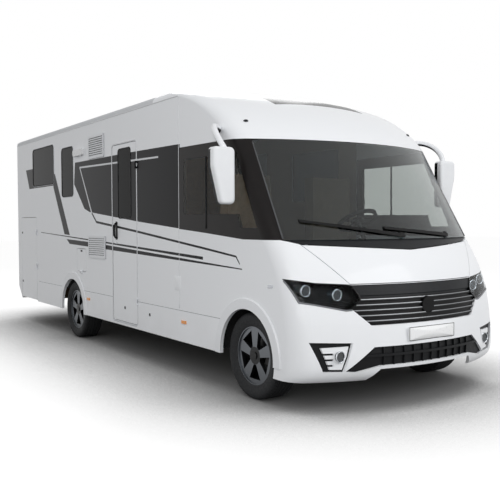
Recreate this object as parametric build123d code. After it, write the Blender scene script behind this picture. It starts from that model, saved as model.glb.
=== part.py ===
from build123d import *
import os
from functools import cache
from math import atan2, cos, pi, radians, sin, sqrt

# A motorhome of the fully integrated kind: coachbuilt living body, bowed front with a large
# windscreen, low skirts, and a goods van's running gear below. Sizes are in millimetres.
# +X runs forward, +Y to the vehicle's left, +Z up. The origin is on the road, under the middle.

# Overall sizes
LENGTH = 7620.0
WIDTH = 2310.0
ROOF_Z = 2780.0
CAB_LENGTH = 2160.0
REAR_DEPTH = 110.0
WALL = 34.0
OVERRUN = 20.0
SEAT_GAP = 0.3
DOOR_GAP = 6.0

HALF_W = WIDTH / 2
NOSE_X = LENGTH / 2
REAR_X = -LENGTH / 2
JOINT_X = NOSE_X - CAB_LENGTH
REAR_PANEL_X = REAR_X + REAR_DEPTH
INNER_W = HALF_W - WALL

# Heights of the body's seams
ROOF_COVE = 80.0
FLOOR_TOP_Z = 680.0
FLOOR_T = 60.0
SILL_Z = 640.0
SKIRT_BASE_Z = 340.0
SKIRT_T = 20.0
BUMPER_BASE_Z = 250.0
BUMPER_TOP_Z = 700.0
BELT_Z = 1343.0
SCREEN_TOP_Z = 2195.0
ROOF_SEAM_Z = ROOF_Z - ROOF_COVE

# Wheels and axles
WHEELBASE = 4110.0
FRONT_OVERHANG = 990.0
WHEEL_R = 365.0
TYRE_W = 240.0
RIM_R = 246.0
RIM_FACE_INSET = 12.0
FRONT_HALF_TRACK = 985.0
REAR_HALF_TRACK = 1000.0
ARCH_R = 400.0
LINER_T = 12.0
FRONT_HOUSE_R = 455.0
FRONT_HOUSE_DEPTH = 515.0
REAR_HOUSE_DEPTH = 305.0
STUB_R = 29.7
HUB_GAP = 0.3
FRONT_AXLE_X = NOSE_X - FRONT_OVERHANG
REAR_AXLE_X = FRONT_AXLE_X - WHEELBASE

# Bowed front, seen in plan: one wide arc between two corner arcs
FRONT_BOW = 2300.0
FRONT_CORNER = 220.0
NOSE_SKIN = 20.0
BONNET_SKIN = 12.0
SCREEN_FRAME = 28.0
GLASS = 6.0
CAP_SKIN = 30.0
CAB_SKIN = 20.0
# How far the front stands back from the nose's tip at the named seams
BUMPER_TUCK = 70.0
BUMPER_TOP_BACK = 25.0
BELT_BACK = 310.0
SCREEN_TOP_BACK = 847.0
CAP_BACK = 2190.0
CAP_LENGTH = 2710.0
CAP_BACK_X = NOSE_X - CAP_LENGTH
# Columns: share of the height between two seams, share of the set-back between them
BUMPER_SHARES = [(0.0, 1.0), (0.178, 0.143), (0.444, 0.0), (1.0, 0.357)]
NOSE_SHARES = [(0.0, 0.0), (0.233, 0.105), (0.467, 0.281), (0.731, 0.579), (1.0, 1.0)]
CAP_SHARES = [(0.0, 0.0), (0.292, 0.129), (0.521, 0.278), (0.692, 0.427), (0.829, 0.598),
              (0.932, 0.792), (1.0, 1.0)]


def block(x0, x1, y0, y1, z0, z1):
    """A box between two corners."""
    middle = Vector((x0 + x1) / 2, (y0 + y1) / 2, (z0 + z1) / 2)
    return Pos(middle) * Box(x1 - x0, y1 - y0, z1 - z0)


def side_prism(outline, y0, y1):
    """An outline of (x, z) points, drawn out across the vehicle from y0 to y1."""
    face = Face(Wire.make_polygon([(x, y0, z) for x, z in outline]))
    return Solid.extrude(face, Vector(0, y1 - y0, 0))


def front_prism(outline, x0, x1):
    """An outline of (y, z) points, drawn out along the vehicle from x0 to x1."""
    face = Face(Wire.make_polygon([(x0, y, z) for y, z in outline]))
    return Solid.extrude(face, Vector(x1 - x0, 0, 0))


def plan_prism(outline, z0, z1):
    """An outline of (x, y) points, drawn upwards from z0 to z1."""
    face = Face(Wire.make_polygon([(x, y, z0) for x, y in outline]))
    return Solid.extrude(face, Vector(0, 0, z1 - z0))


def rounded_side_prism(outline, radius, y0, y1):
    """A side prism whose outline's corners are rounded with arcs of one radius."""
    points = [(x, y0, z) for x, z in outline]
    wire = Wire(FilletPolyline(*points, radius=radius, close=True).edges())
    return Solid.extrude(Face(wire), Vector(0, y1 - y0, 0))


def rounded_front_prism(outline, radius, x0, x1):
    """A front prism whose outline's corners are rounded with arcs of one radius."""
    points = [(x0, y, z) for y, z in outline]
    wire = Wire(FilletPolyline(*points, radius=radius, close=True).edges())
    return Solid.extrude(Face(wire), Vector(x1 - x0, 0, 0))


def rounded_block(x0, x1, y0, y1, z0, z1, radius):
    """A box with its corners rounded as seen from the side."""
    return rounded_side_prism([(x0, z0), (x1, z0), (x1, z1), (x0, z1)], radius, y0, y1)


def rod(start, end, radius):
    """A round bar between two points."""
    start = Vector(*start)
    span = Vector(*end) - start
    return Solid.make_cylinder(radius, span.length, Plane(origin=start, z_dir=span))


def across(x, z, y0, y1, radius):
    """A round bar that lies across the vehicle."""
    return rod((x, min(y0, y1), z), (x, max(y0, y1), z), radius)


def mirrored(shape):
    """The same shape on the vehicle's other side."""
    return shape.mirror(Plane.XZ)


def solids_of(*shapes):
    """Every solid in shapes, lists and compounds."""
    found = []
    for shape in shapes:
        if isinstance(shape, (list, tuple)):
            found.extend(solids_of(*shape))
        elif shape is not None:
            found.extend(shape.solids())
    return found


def gathered(*shapes):
    """One solid, or a compound where there are several."""
    found = solids_of(*shapes)
    return found[0] if len(found) == 1 else Compound(found)


def fused(shapes):
    """All the shapes as one."""
    first, *others = solids_of(shapes)
    return gathered(first.fuse(*others)) if others else first


def less(shape, *tools):
    """A shape with the tools cut out of it."""
    return gathered(shape.cut(*solids_of(tools)))


def common(shape, *others):
    """What a shape has in common with each of the others."""
    for other in others:
        shape = gathered(shape.intersect(other))
    return shape


def both_sides(shape):
    """A shape and its mirror image."""
    return [shape, mirrored(shape)]


# The front's envelope

def bow_line(front_x, inset):
    """The bowed front in plan: (centre x, distance to the corner centres, bow, half, corner)."""
    bow = FRONT_BOW - inset
    half = HALF_W - inset
    corner = FRONT_CORNER - inset
    along = sqrt((bow - corner) ** 2 - (half - corner) ** 2)
    return front_x - FRONT_BOW, along, bow, half, corner


def front_at(front_x, y, inset=0.0):
    """Where the bow lies at a distance y from the middle."""
    centre_x, _, bow, _, _ = bow_line(front_x, inset)
    return centre_x + sqrt(bow ** 2 - y ** 2)


def front_x_at(sections, z):
    """The front's furthest x at a height, between the sections beside it."""
    for (z0, x0), (z1, x1) in zip(sections, sections[1:]):
        if z <= z1:
            return x0 + (x1 - x0) * (z - z0) / (z1 - z0)
    return sections[-1][1]


def plan_wire(front_x, z, inset, back_x):
    """The front's outline at one height: two sides, two corner arcs, the bow and a straight back."""
    centre_x, along, bow, half, corner = bow_line(front_x, inset)
    turn = atan2(half - corner, along)
    corner_x = centre_x + along
    corner_y = half - corner
    tangent = (centre_x + bow * cos(turn), bow * sin(turn))
    middle_turn = (turn + pi / 2) / 2
    middle = (corner_x + corner * cos(middle_turn), corner_y + corner * sin(middle_turn))
    right = [(back_x, -half, z), (corner_x, -half, z), (middle[0], -middle[1], z),
             (tangent[0], -tangent[1], z)]
    left = [(x, -y, z) for x, y, _ in right]
    tip = (centre_x + bow, 0, z)
    return Wire([
        Edge.make_line(right[0], right[1]),
        Edge.make_three_point_arc(right[1], right[2], right[3]),
        Edge.make_three_point_arc(right[3], tip, left[3]),
        Edge.make_three_point_arc(left[3], left[2], left[1]),
        Edge.make_line(left[1], left[0]),
        Edge.make_line(left[0], right[0])])


def nose_sections():
    """(height, front x) up the bumper and the nose."""
    bumper_rise = BUMPER_TOP_Z - BUMPER_BASE_Z
    nose_rise = BELT_Z - BUMPER_TOP_Z
    nose_run = BELT_BACK - BUMPER_TOP_BACK
    lower = [(BUMPER_BASE_Z + up * bumper_rise, NOSE_X - back * BUMPER_TUCK)
             for up, back in BUMPER_SHARES[:-1]]
    upper = [(BUMPER_TOP_Z + up * nose_rise, NOSE_X - BUMPER_TOP_BACK - back * nose_run)
             for up, back in NOSE_SHARES]
    return lower + upper


def screen_sections():
    """(height, front x) at the foot and the head of the windscreen."""
    return [(BELT_Z, NOSE_X - BELT_BACK), (SCREEN_TOP_Z, NOSE_X - SCREEN_TOP_BACK)]


def cap_sections(inset):
    """(height, front x) up the roof cap, moved inwards square to its own slope."""
    rise = ROOF_Z - SCREEN_TOP_Z
    run = CAP_BACK - SCREEN_TOP_BACK
    points = [(SCREEN_TOP_Z + up * rise, NOSE_X - SCREEN_TOP_BACK - back * run)
              for up, back in CAP_SHARES]
    moved = []
    for index, (z, x) in enumerate(points):
        before = points[max(index - 1, 0)]
        after = points[min(index + 1, len(points) - 1)]
        slope = sqrt((after[0] - before[0]) ** 2 + (after[1] - before[1]) ** 2)
        to_front = (after[0] - before[0]) / slope
        to_top = (before[1] - after[1]) / slope
        moved.append((z - inset * to_top, x - inset * to_front))
    return moved


def front_solid(sections, inset, back_x, ruled=False):
    """A solid through the plan outlines at each section's height."""
    wires = [plan_wire(front_x, z, inset, back_x) for z, front_x in sections]
    return Solid.make_loft(wires, ruled)


@cache
def nose_form(inset, back_x):
    """The nose as a solid at an inset: smooth at its face, in plain facets behind it."""
    return front_solid(nose_sections(), inset, back_x, ruled=inset > 0)


@cache
def nose_skin(outer, inner):
    """The nose's shell between two insets, open at the back, foot and head."""
    return less(nose_form(outer, JOINT_X), nose_form(inner, JOINT_X - OVERRUN))


def screen_skin(outer, inner):
    """The shell round the windscreen between two insets."""
    sections = screen_sections()
    whole = front_solid(sections, outer, JOINT_X, ruled=True)
    hollow = front_solid(sections, inner, JOINT_X - OVERRUN, ruled=True)
    return less(whole, hollow)


def cap_solid(inset, back_x):
    """The roof cap's solid form: the bowed front carried up and back, under the roof's coves."""
    half = HALF_W - inset
    cove = ROOF_COVE - inset
    sections = cap_sections(inset)
    if inset:
        sections = [(SCREEN_TOP_Z - OVERRUN, NOSE_X - SCREEN_TOP_BACK - inset)] + sections[1:]
    body = front_solid(sections, inset, back_x, ruled=inset > 0)
    hood = roof_section(half, cove, SCREEN_TOP_Z - OVERRUN * 2, ROOF_Z - inset, back_x - OVERRUN)
    hood = Solid.extrude(hood, Vector(NOSE_X - back_x, 0, 0))
    return common(body, hood)


def roof_section(half, cove, base_z, top_z, x):
    """The body's cross-section: straight sides, a cove each side and a flat top."""
    side_z = top_z - cove
    bend = cove * (1 - cos(pi / 4))
    right = [(x, -half, base_z), (x, -half, side_z), (x, bend - half, top_z - bend),
             (x, cove - half, top_z)]
    left = [(px, -py, pz) for px, py, pz in right]
    return Face(Wire([
        Edge.make_line(right[0], right[1]),
        Edge.make_three_point_arc(right[1], right[2], right[3]),
        Edge.make_line(right[3], left[3]),
        Edge.make_three_point_arc(left[3], left[2], left[1]),
        Edge.make_line(left[1], left[0]),
        Edge.make_line(left[0], right[0])]))


# Openings in the side walls. Columns: distance of the rear edge from the vehicle's rear, length,
# height of the lower edge, height of the opening
DOORWAY = (3850.0, 650.0, 383.0, 1987.0)
RIGHT_WINDOWS = [(890.0, 920.0, 2045.0, 520.0), (2150.0, 420.0, 1850.0, 625.0)]
LEFT_WINDOWS = [(890.0, 920.0, 2045.0, 520.0), (2900.0, 800.0, 1850.0, 560.0),
                (4250.0, 900.0, 1750.0, 600.0)]
GARAGE_DOOR = (260.0, 760.0, 352.0, 1233.0)
FLAP = (2680.0, 330.0, 880.0, 290.0)
VENTS = [(3140.0, 480.0, 2270.0, 275.0), (3110.0, 530.0, 1066.0, 269.0)]
WINDOW_CORNER = 45.0
DOOR_CORNER = 40.0
WINDOW_PANE = 20.0
VENT_PROUD = 14.0
VENT_CORNER = 12.0
VENT_RIM = 24.0
VENT_SLOTS = 9
VENT_SLOT_H = 17.0
VENT_BACK = 3.0
# The pane in the door, measured from the doorway's rear lower corner
DOOR_PANE = (170.0, 330.0, 1165.0, 760.0)
DOOR_PANE_CORNER = 35.0

HINGE_OUT = 14.0
HINGE_R = 8.0
HINGE_PIN_R = 4.0
HINGE_PIN_GAP = 0.3
HINGE_LEAF_T = 5.0
HINGE_LEAF = 40.0
HINGE_KNUCKLE = 40.0
HINGE_AXIAL_GAP = 1.0


def edges_of(opening):
    """(rear x, front x, low z, high z) of a row of an openings table."""
    back, length, low, height = opening
    rear = REAR_X + back
    return rear, rear + length, low, low + height


def opening_prism(opening, shrink, corner, y0, y1):
    """A row of an openings table as a rounded prism, smaller by shrink on every side."""
    rear, front, low, high = edges_of(opening)
    return rounded_block(rear + shrink, front - shrink, y0, y1, low + shrink, high - shrink,
                         corner)


def right_cut(opening, corner, shrink=0.0):
    """The tool that cuts an opening through the right wall and what lies flush with it."""
    return opening_prism(opening, shrink, corner, -HALF_W - OVERRUN, -INNER_W + OVERRUN)


def hinge(place):
    """A hinge at a place: (pieces fixed to the wall, pieces fixed to the door).

    In its own frame the pin stands along Z, the wall lies ahead, the door behind and the face
    of both at the pin's distance towards +Y."""
    low = -HINGE_KNUCKLE / 2
    high = HINGE_KNUCKLE / 2
    face = HINGE_OUT
    barrel = rod((0, 0, low), (0, 0, high), HINGE_R)
    bore = rod((0, 0, low), (0, 0, high), HINGE_PIN_R + HINGE_PIN_GAP)
    leaf = block(-HINGE_LEAF, -HINGE_OUT / 2, face - HINGE_LEAF_T, face, low, high)
    web = block(-HINGE_OUT, 0, 0, face - HINGE_LEAF_T / 2, low, high)
    moving = less(fused([leaf, web, barrel]), bore)
    fixed = [rod((0, 0, low * 2), (0, 0, high * 2), HINGE_PIN_R)]
    for start, end in ((low * 2, low - HINGE_AXIAL_GAP), (high + HINGE_AXIAL_GAP, high * 2)):
        fixed.append(rod((0, 0, start), (0, 0, end), HINGE_R))
        fixed.append(block(0, HINGE_OUT, -HINGE_R / 2, face, start, end))
        fixed.append(block(HINGE_LEAF_T, HINGE_LEAF, face - HINGE_LEAF_T, face, start, end))
    return place * fused(fixed), place * moving


def door_hinges(x, heights):
    """Hinges on an upright axis beside a door's front edge: lists for the wall and the door."""
    pairs = [hinge(Pos(x, -HALF_W - HINGE_OUT, z)) for z in heights]
    return [fixed for fixed, _ in pairs], [moving for _, moving in pairs]


def hinge_heights(opening, inset):
    """Two hinge heights, inset from the ends of an opening."""
    _, _, low, high = edges_of(opening)
    return low + inset, high - inset


DOOR_HINGE_INSET = 260.0
GARAGE_HINGE_INSET = 220.0


def arch_cut(axle_x, radius, depth, y_over=OVERRUN):
    """A round tool through the right side at an axle, reaching inwards from the body's face."""
    return across(axle_x, WHEEL_R, -HALF_W - y_over, -HALF_W + depth, radius)


def side_wall(openings, hinges):
    """The right-hand form of a living body's side wall with its openings cut."""
    wall = block(REAR_PANEL_X, JOINT_X, -HALF_W, -INNER_W, SILL_Z, ROOF_SEAM_Z)
    cutters = [right_cut(opening, corner) for opening, corner in openings]
    cutters.append(arch_cut(REAR_AXLE_X, ARCH_R, WALL + OVERRUN))
    return fused([less(wall, cutters)] + hinges)


def vent_slot(rear, front, z):
    """The space over one slanted slat of a vent: a wedge that is deeper at its foot."""
    face_y = -HALF_W - VENT_PROUD
    outline = [(face_y - OVERRUN, z + VENT_SLOT_H / 2), (face_y - OVERRUN, z - VENT_SLOT_H / 2),
               (face_y, z - VENT_SLOT_H / 2), (-HALF_W - VENT_BACK, z + VENT_SLOT_H / 2)]
    return front_prism(outline, rear, front)


def living_body():
    """Side walls, rear moulding, roof, skirts and their doors."""
    door_rear, door_front, door_low, door_high = edges_of(DOORWAY)
    garage_rear, garage_front, garage_low, garage_high = edges_of(GARAGE_DOOR)
    flap_rear, flap_front, flap_low, flap_high = edges_of(FLAP)
    door_fixed, door_moving = door_hinges(door_front, hinge_heights(DOORWAY, DOOR_HINGE_INSET))
    garage_levels = (SILL_Z + GARAGE_HINGE_INSET, garage_high - GARAGE_HINGE_INSET)
    garage_fixed, garage_moving = door_hinges(garage_front, garage_levels)
    flap_place = Pos((flap_rear + flap_front) / 2, -HALF_W - HINGE_OUT, flap_low) * Rot(0, 90, 0)
    flap_fixed, flap_moving = hinge(flap_place)

    right_openings = [(row, WINDOW_CORNER) for row in RIGHT_WINDOWS]
    right_openings += [(DOORWAY, DOOR_CORNER), (GARAGE_DOOR, DOOR_CORNER), (FLAP, DOOR_CORNER)]
    left_openings = [(row, WINDOW_CORNER) for row in LEFT_WINDOWS]
    left_openings += [(GARAGE_DOOR, DOOR_CORNER)]
    # The lower hinges of the doors that reach below the sill stay on the wall
    right_wall = side_wall(right_openings, garage_fixed + door_fixed + [flap_fixed])
    left_wall = side_wall(left_openings, garage_fixed)

    def panel(row, corner):
        return opening_prism(row, DOOR_GAP, corner - DOOR_GAP, -HALF_W, -INNER_W)

    door = panel(DOORWAY, DOOR_CORNER)
    pane_row = (DOORWAY[0] + DOOR_PANE[0], DOOR_PANE[1], DOORWAY[2] + DOOR_PANE[2], DOOR_PANE[3])
    door = less(door, right_cut(pane_row, DOOR_PANE_CORNER))
    door = fused([door] + door_moving)
    door_pane = opening_prism(pane_row, 0.0, DOOR_PANE_CORNER, -HALF_W, -HALF_W + WINDOW_PANE)
    garage = fused([panel(GARAGE_DOOR, DOOR_CORNER)] + garage_moving)
    flap = fused([panel(FLAP, DOOR_CORNER), flap_moving])

    panes = [opening_prism(row, 0.0, WINDOW_CORNER, -HALF_W, -HALF_W + WINDOW_PANE)
             for row in RIGHT_WINDOWS]
    panes += [mirrored(opening_prism(row, 0.0, WINDOW_CORNER, -HALF_W, -HALF_W + WINDOW_PANE))
              for row in LEFT_WINDOWS]

    base_z = ROOF_SEAM_Z - OVERRUN
    outer = roof_section(HALF_W, ROOF_COVE, base_z, ROOF_Z, REAR_PANEL_X)
    inner = roof_section(INNER_W, ROOF_COVE - WALL, base_z, ROOF_Z - WALL, REAR_PANEL_X)
    run = Vector(CAP_BACK_X - REAR_PANEL_X, 0, 0)
    roof = less(Solid.extrude(outer, run), Solid.extrude(inner, run),
                block(REAR_PANEL_X, CAP_BACK_X, -HALF_W, HALF_W, base_z, ROOF_SEAM_Z))

    vents = []
    for row in VENTS:
        rear, front, low, high = edges_of(row)
        plate = rounded_block(rear, front, -HALF_W - VENT_PROUD, -HALF_W, low, high, VENT_CORNER)
        slots = []
        for index in range(VENT_SLOTS):
            z = low + VENT_RIM + (high - low - VENT_RIM * 2) * (index + 0.5) / VENT_SLOTS
            slots.append(vent_slot(rear + VENT_RIM, front - VENT_RIM, z))
        vents.append(less(plate, slots))
    return {
        "wall_right": right_wall, "wall_left": mirrored(left_wall), "roof": roof,
        "hab_door": door, "hab_door_window": door_pane, "garage_door_right": garage,
        "garage_door_left": mirrored(garage), "service_flap": flap, "living_windows": panes,
        "vent_grilles": vents}


# Rear moulding and rear bumper
REAR_CORNER = 90.0
BUMPER_SKIN = 20.0
BUMPER_SIDE = 254.0
SLOPE_TOP_Z = 590.0
SLOPE_FOOT_Z = 331.0


def rear_plan(inset, z0, z1, front_x):
    """The rear's plan outline with rounded corners, drawn upwards."""
    rear = REAR_X + inset
    half = HALF_W - inset
    corner = REAR_CORNER - inset
    bend = corner * (1 - cos(pi / 4))
    right = [(front_x, -half, z0), (rear + corner, -half, z0), (rear + bend, bend - half, z0),
             (rear, corner - half, z0)]
    left = [(x, -y, z) for x, y, z in right]
    wire = Wire([
        Edge.make_line(right[0], right[1]),
        Edge.make_three_point_arc(right[1], right[2], right[3]),
        Edge.make_line(right[3], left[3]),
        Edge.make_three_point_arc(left[3], left[2], left[1]),
        Edge.make_line(left[1], left[0]),
        Edge.make_line(left[0], right[0])])
    return Solid.extrude(Face(wire), Vector(0, 0, z1 - z0))


def rear_profile(inset, z0):
    """The rear moulding seen from the side, rounded into the roof."""
    rear = REAR_X + inset
    top = ROOF_Z - inset
    corner = REAR_CORNER - inset
    bend = corner * (1 - cos(pi / 4))
    reach = -HALF_W - OVERRUN
    points = [(REAR_PANEL_X + OVERRUN, z0), (rear, z0), (rear, top - corner),
              (rear + bend, top - bend), (rear + corner, top), (REAR_PANEL_X + OVERRUN, top)]
    p = [(x, reach, z) for x, z in points]
    wire = Wire([
        Edge.make_line(p[0], p[1]), Edge.make_line(p[1], p[2]),
        Edge.make_three_point_arc(p[2], p[3], p[4]),
        Edge.make_line(p[4], p[5]), Edge.make_line(p[5], p[0])])
    return Solid.extrude(Face(wire), Vector(0, -reach * 2, 0))


def rear_form(inset, z0):
    """The rear moulding as a solid: plan, side profile and cross-section meet."""
    section = roof_section(HALF_W - inset, ROOF_COVE - inset, z0, ROOF_Z - inset,
                           REAR_X - OVERRUN)
    hood = Solid.extrude(section, Vector(REAR_PANEL_X - REAR_X + OVERRUN, 0, 0))
    plan = rear_plan(inset, z0, ROOF_Z + OVERRUN, REAR_PANEL_X + OVERRUN)
    return common(hood, plan, rear_profile(inset, z0))


def rear_body():
    """The rear moulding above the bumper, the bumper and the lamps in it."""
    shell = less(rear_form(0.0, BUMPER_TOP_Z), rear_form(WALL, BUMPER_TOP_Z - OVERRUN))
    inner, width, low, height = TAIL_LAMP
    tail = block(REAR_X, REAR_X + TAIL_LAMP_T, inner, inner + width, low, low + height)
    tail = tail.fillet(TAIL_CORNER, tail.edges().filter_by(Axis.X))
    shell = less(shell, both_sides(tail))
    side_x = REAR_X + BUMPER_SIDE
    outline = [(side_x, SILL_Z), (REAR_PANEL_X, SILL_Z), (REAR_PANEL_X, BUMPER_TOP_Z),
               (REAR_X, BUMPER_TOP_Z), (REAR_X, SLOPE_TOP_Z), (side_x, SLOPE_FOOT_Z)]
    reach = HALF_W + OVERRUN
    whole = side_prism(outline, -reach, reach)
    whole = common(whole, rear_plan(0.0, SLOPE_FOOT_Z - OVERRUN, BUMPER_TOP_Z, side_x))
    hollow_line = [(side_x + OVERRUN, BUMPER_TOP_Z + OVERRUN), (REAR_X, BUMPER_TOP_Z + OVERRUN),
                   (REAR_X, SLOPE_TOP_Z + BUMPER_SKIN), (side_x, SLOPE_FOOT_Z + BUMPER_SKIN),
                   (side_x + OVERRUN, SLOPE_FOOT_Z + BUMPER_SKIN)]
    hollow = side_prism(hollow_line, -reach, reach)
    hollow = common(hollow, rear_plan(BUMPER_SKIN, SLOPE_FOOT_Z, BUMPER_TOP_Z + OVERRUN * 2,
                                      side_x + OVERRUN * 2))
    bumper = less(whole, hollow)
    return {"wall_rear": shell, "rear_bumper": bumper, "tail_lamps": both_sides(tail)}


def skirts():
    """The skirt panels between the doors and the arches, on both sides."""
    _, garage_front, _, _ = edges_of(GARAGE_DOOR)
    slab = block(garage_front + DOOR_GAP / 2, FRONT_AXLE_X, -HALF_W, -HALF_W + SKIRT_T,
                 SKIRT_BASE_Z, SILL_Z)
    arches = [arch_cut(REAR_AXLE_X, ARCH_R, SKIRT_T + OVERRUN),
              arch_cut(FRONT_AXLE_X, ARCH_R, SKIRT_T + OVERRUN)]
    left = mirrored(less(slab, arches))
    right = less(slab, right_cut(DOORWAY, DOOR_CORNER), arches)
    return {"side_skirts": [right, left], "arch_trims": arch_trims()}


TRIM_WIDTH = 92.0
TRIM_T = 12.0
TRIM_EASE = 8.0


def arch_trims():
    """A raised band round each wheel arch, eased along its outer edge."""
    found = []
    face_y = -HALF_W - TRIM_T
    reach = ARCH_R + TRIM_WIDTH
    for axle_x in (REAR_AXLE_X, FRONT_AXLE_X):
        band = across(axle_x, WHEEL_R, face_y, -HALF_W, reach)
        outer = band.edges().filter_by(GeomType.CIRCLE).sort_by(Axis.Y)[0]
        band = band.chamfer(TRIM_EASE, None, [outer])
        band = less(band, across(axle_x, WHEEL_R, face_y - OVERRUN, -HALF_W + OVERRUN, ARCH_R))
        band = less(band, block(axle_x - reach, axle_x + reach, face_y - OVERRUN, 0,
                                WHEEL_R - reach - OVERRUN, SKIRT_BASE_Z))
        found += both_sides(band)
    return found


# Nose: the outlines below are seen from the front. Columns: share of the half width, share of the
# height between the bumper's base and the belt line
BONNET_SHARES = [(0.842, 0.970), (0.604, 0.683)]
HEADLAMP_SHARES = [(0.991, 0.728), (0.831, 0.701), (0.625, 0.687), (0.593, 0.680), (0.555, 0.613),
                   (0.552, 0.573), (0.625, 0.511), (0.666, 0.509), (0.860, 0.554), (0.943, 0.567)]
GRILLE_SHARES = [(0.593, 0.680), (0.555, 0.613), (0.552, 0.573), (0.625, 0.511), (0.500, 0.394)]
BONNET_CROWN_SHARES = (0.0, 0.922)
COWL_SHARE = 0.945
COWL_INSET = BONNET_SKIN + SEAT_GAP * 2
COWL_T = 6.0
BONNET_HINGE_BACK = 568.0
BONNET_HINGE_Z = 1322.0
BONNET_HINGE_Y = 850.0
BONNET_LUG_T = 12.0
BONNET_LUG_R = 11.0
BONNET_PIN_R = 6.0
BONNET_PIN_REACH = 195.0
# The hinge arm hangs below the cowl, so that it swings round the edge of it
BONNET_NECK = 110.0
BONNET_ARM_H = 18.0
INTAKE_SHARES = [(0.490, 0.243), (0.690, 0.081), (0.616, 0.071), (0.440, 0.108)]
FOG_SHARES = [(0.918, 0.292), (0.640, 0.279), (0.699, 0.078), (0.835, 0.084)]
LAMP_BACK = 506.0
HEADLAMP_DEPTH = 90.0
HEADLAMP_WALL = 10.0
COVER_T = 5.0
# Columns: share of the half width, share of the nose's height
PROJECTOR_SHARES = [(0.881, 0.643), (0.687, 0.611)]
PROJECTOR_R = 45.0
PROJECTOR_BACK = 45.0
PROJECTOR_LENGTH = 70.0
PROJECTOR_DOME = 12.0
PROJECTOR_LENS_R = 34.0
GRILLE_DEPTH = NOSE_SKIN + SEAT_GAP
GRILLE_LAP = 15.0
GRILLE_T = 10.0
PLATE_W = 520.0
PLATE_H = 110.0
PLATE_T = 8.0
PLATE_BACK = 14.0
PLATE_Z = 542.0
BADGE_R = 68.0
BADGE_Z = 815.0
BROW_Z = 912.0
FOG_LAMP_SHARES = (0.727, 0.187)
FOG_LAMP_R = 40.0
# White insert round the fog lamp with its slots, seen from the front
FOG_INSERT_SHARES = [(0.845, 0.250), (0.668, 0.256), (0.712, 0.095), (0.790, 0.098)]
FOG_SLOT_SHARES = (0.206, 0.166, 0.126)
FOG_SLOT_H = 16.0
FOG_SLOT_START_SHARE = 0.765
LIP_SHARES = [(0.441, 0.084), (0.512, 0.011), (0.512, -0.05)]
SLAT_H = 16.0
GRID_COUNT = 11
GRID_HALF_W = 480.0
GRID_T = 10.0
GRID_Z = 450.0
SLAT_DEPTH = 14.0
SLAT_COUNT = 5
SLAT_LOW_SHARE = 0.422
SLAT_HIGH_SHARE = 0.573
NOSE_HEIGHT = BELT_Z - BUMPER_BASE_Z


def seen_from_front(shares):
    """An outline of shares as (y, z) points on the vehicle's left half."""
    return [(HALF_W * out, BUMPER_BASE_Z + NOSE_HEIGHT * up) for out, up in shares]


def closed_over(points):
    """A half outline with its mirror image: a whole outline across the middle."""
    return points + [(-y, z) for y, z in reversed(points) if abs(y) > 0]


def nose_tool(points, shrink=0.0, back=CAB_LENGTH / 2):
    """An outline seen from the front as a tool through the nose, smaller all round by shrink."""
    face = Face(Wire.make_polygon([(NOSE_X - back, y, z) for y, z in points]))
    if shrink:
        loop = face.outer_wire().offset_2d(-shrink, kind=Kind.INTERSECTION)
        face = Face(loop)
    return Solid.extrude(face, Vector(CAB_LENGTH, 0, 0))


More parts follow.
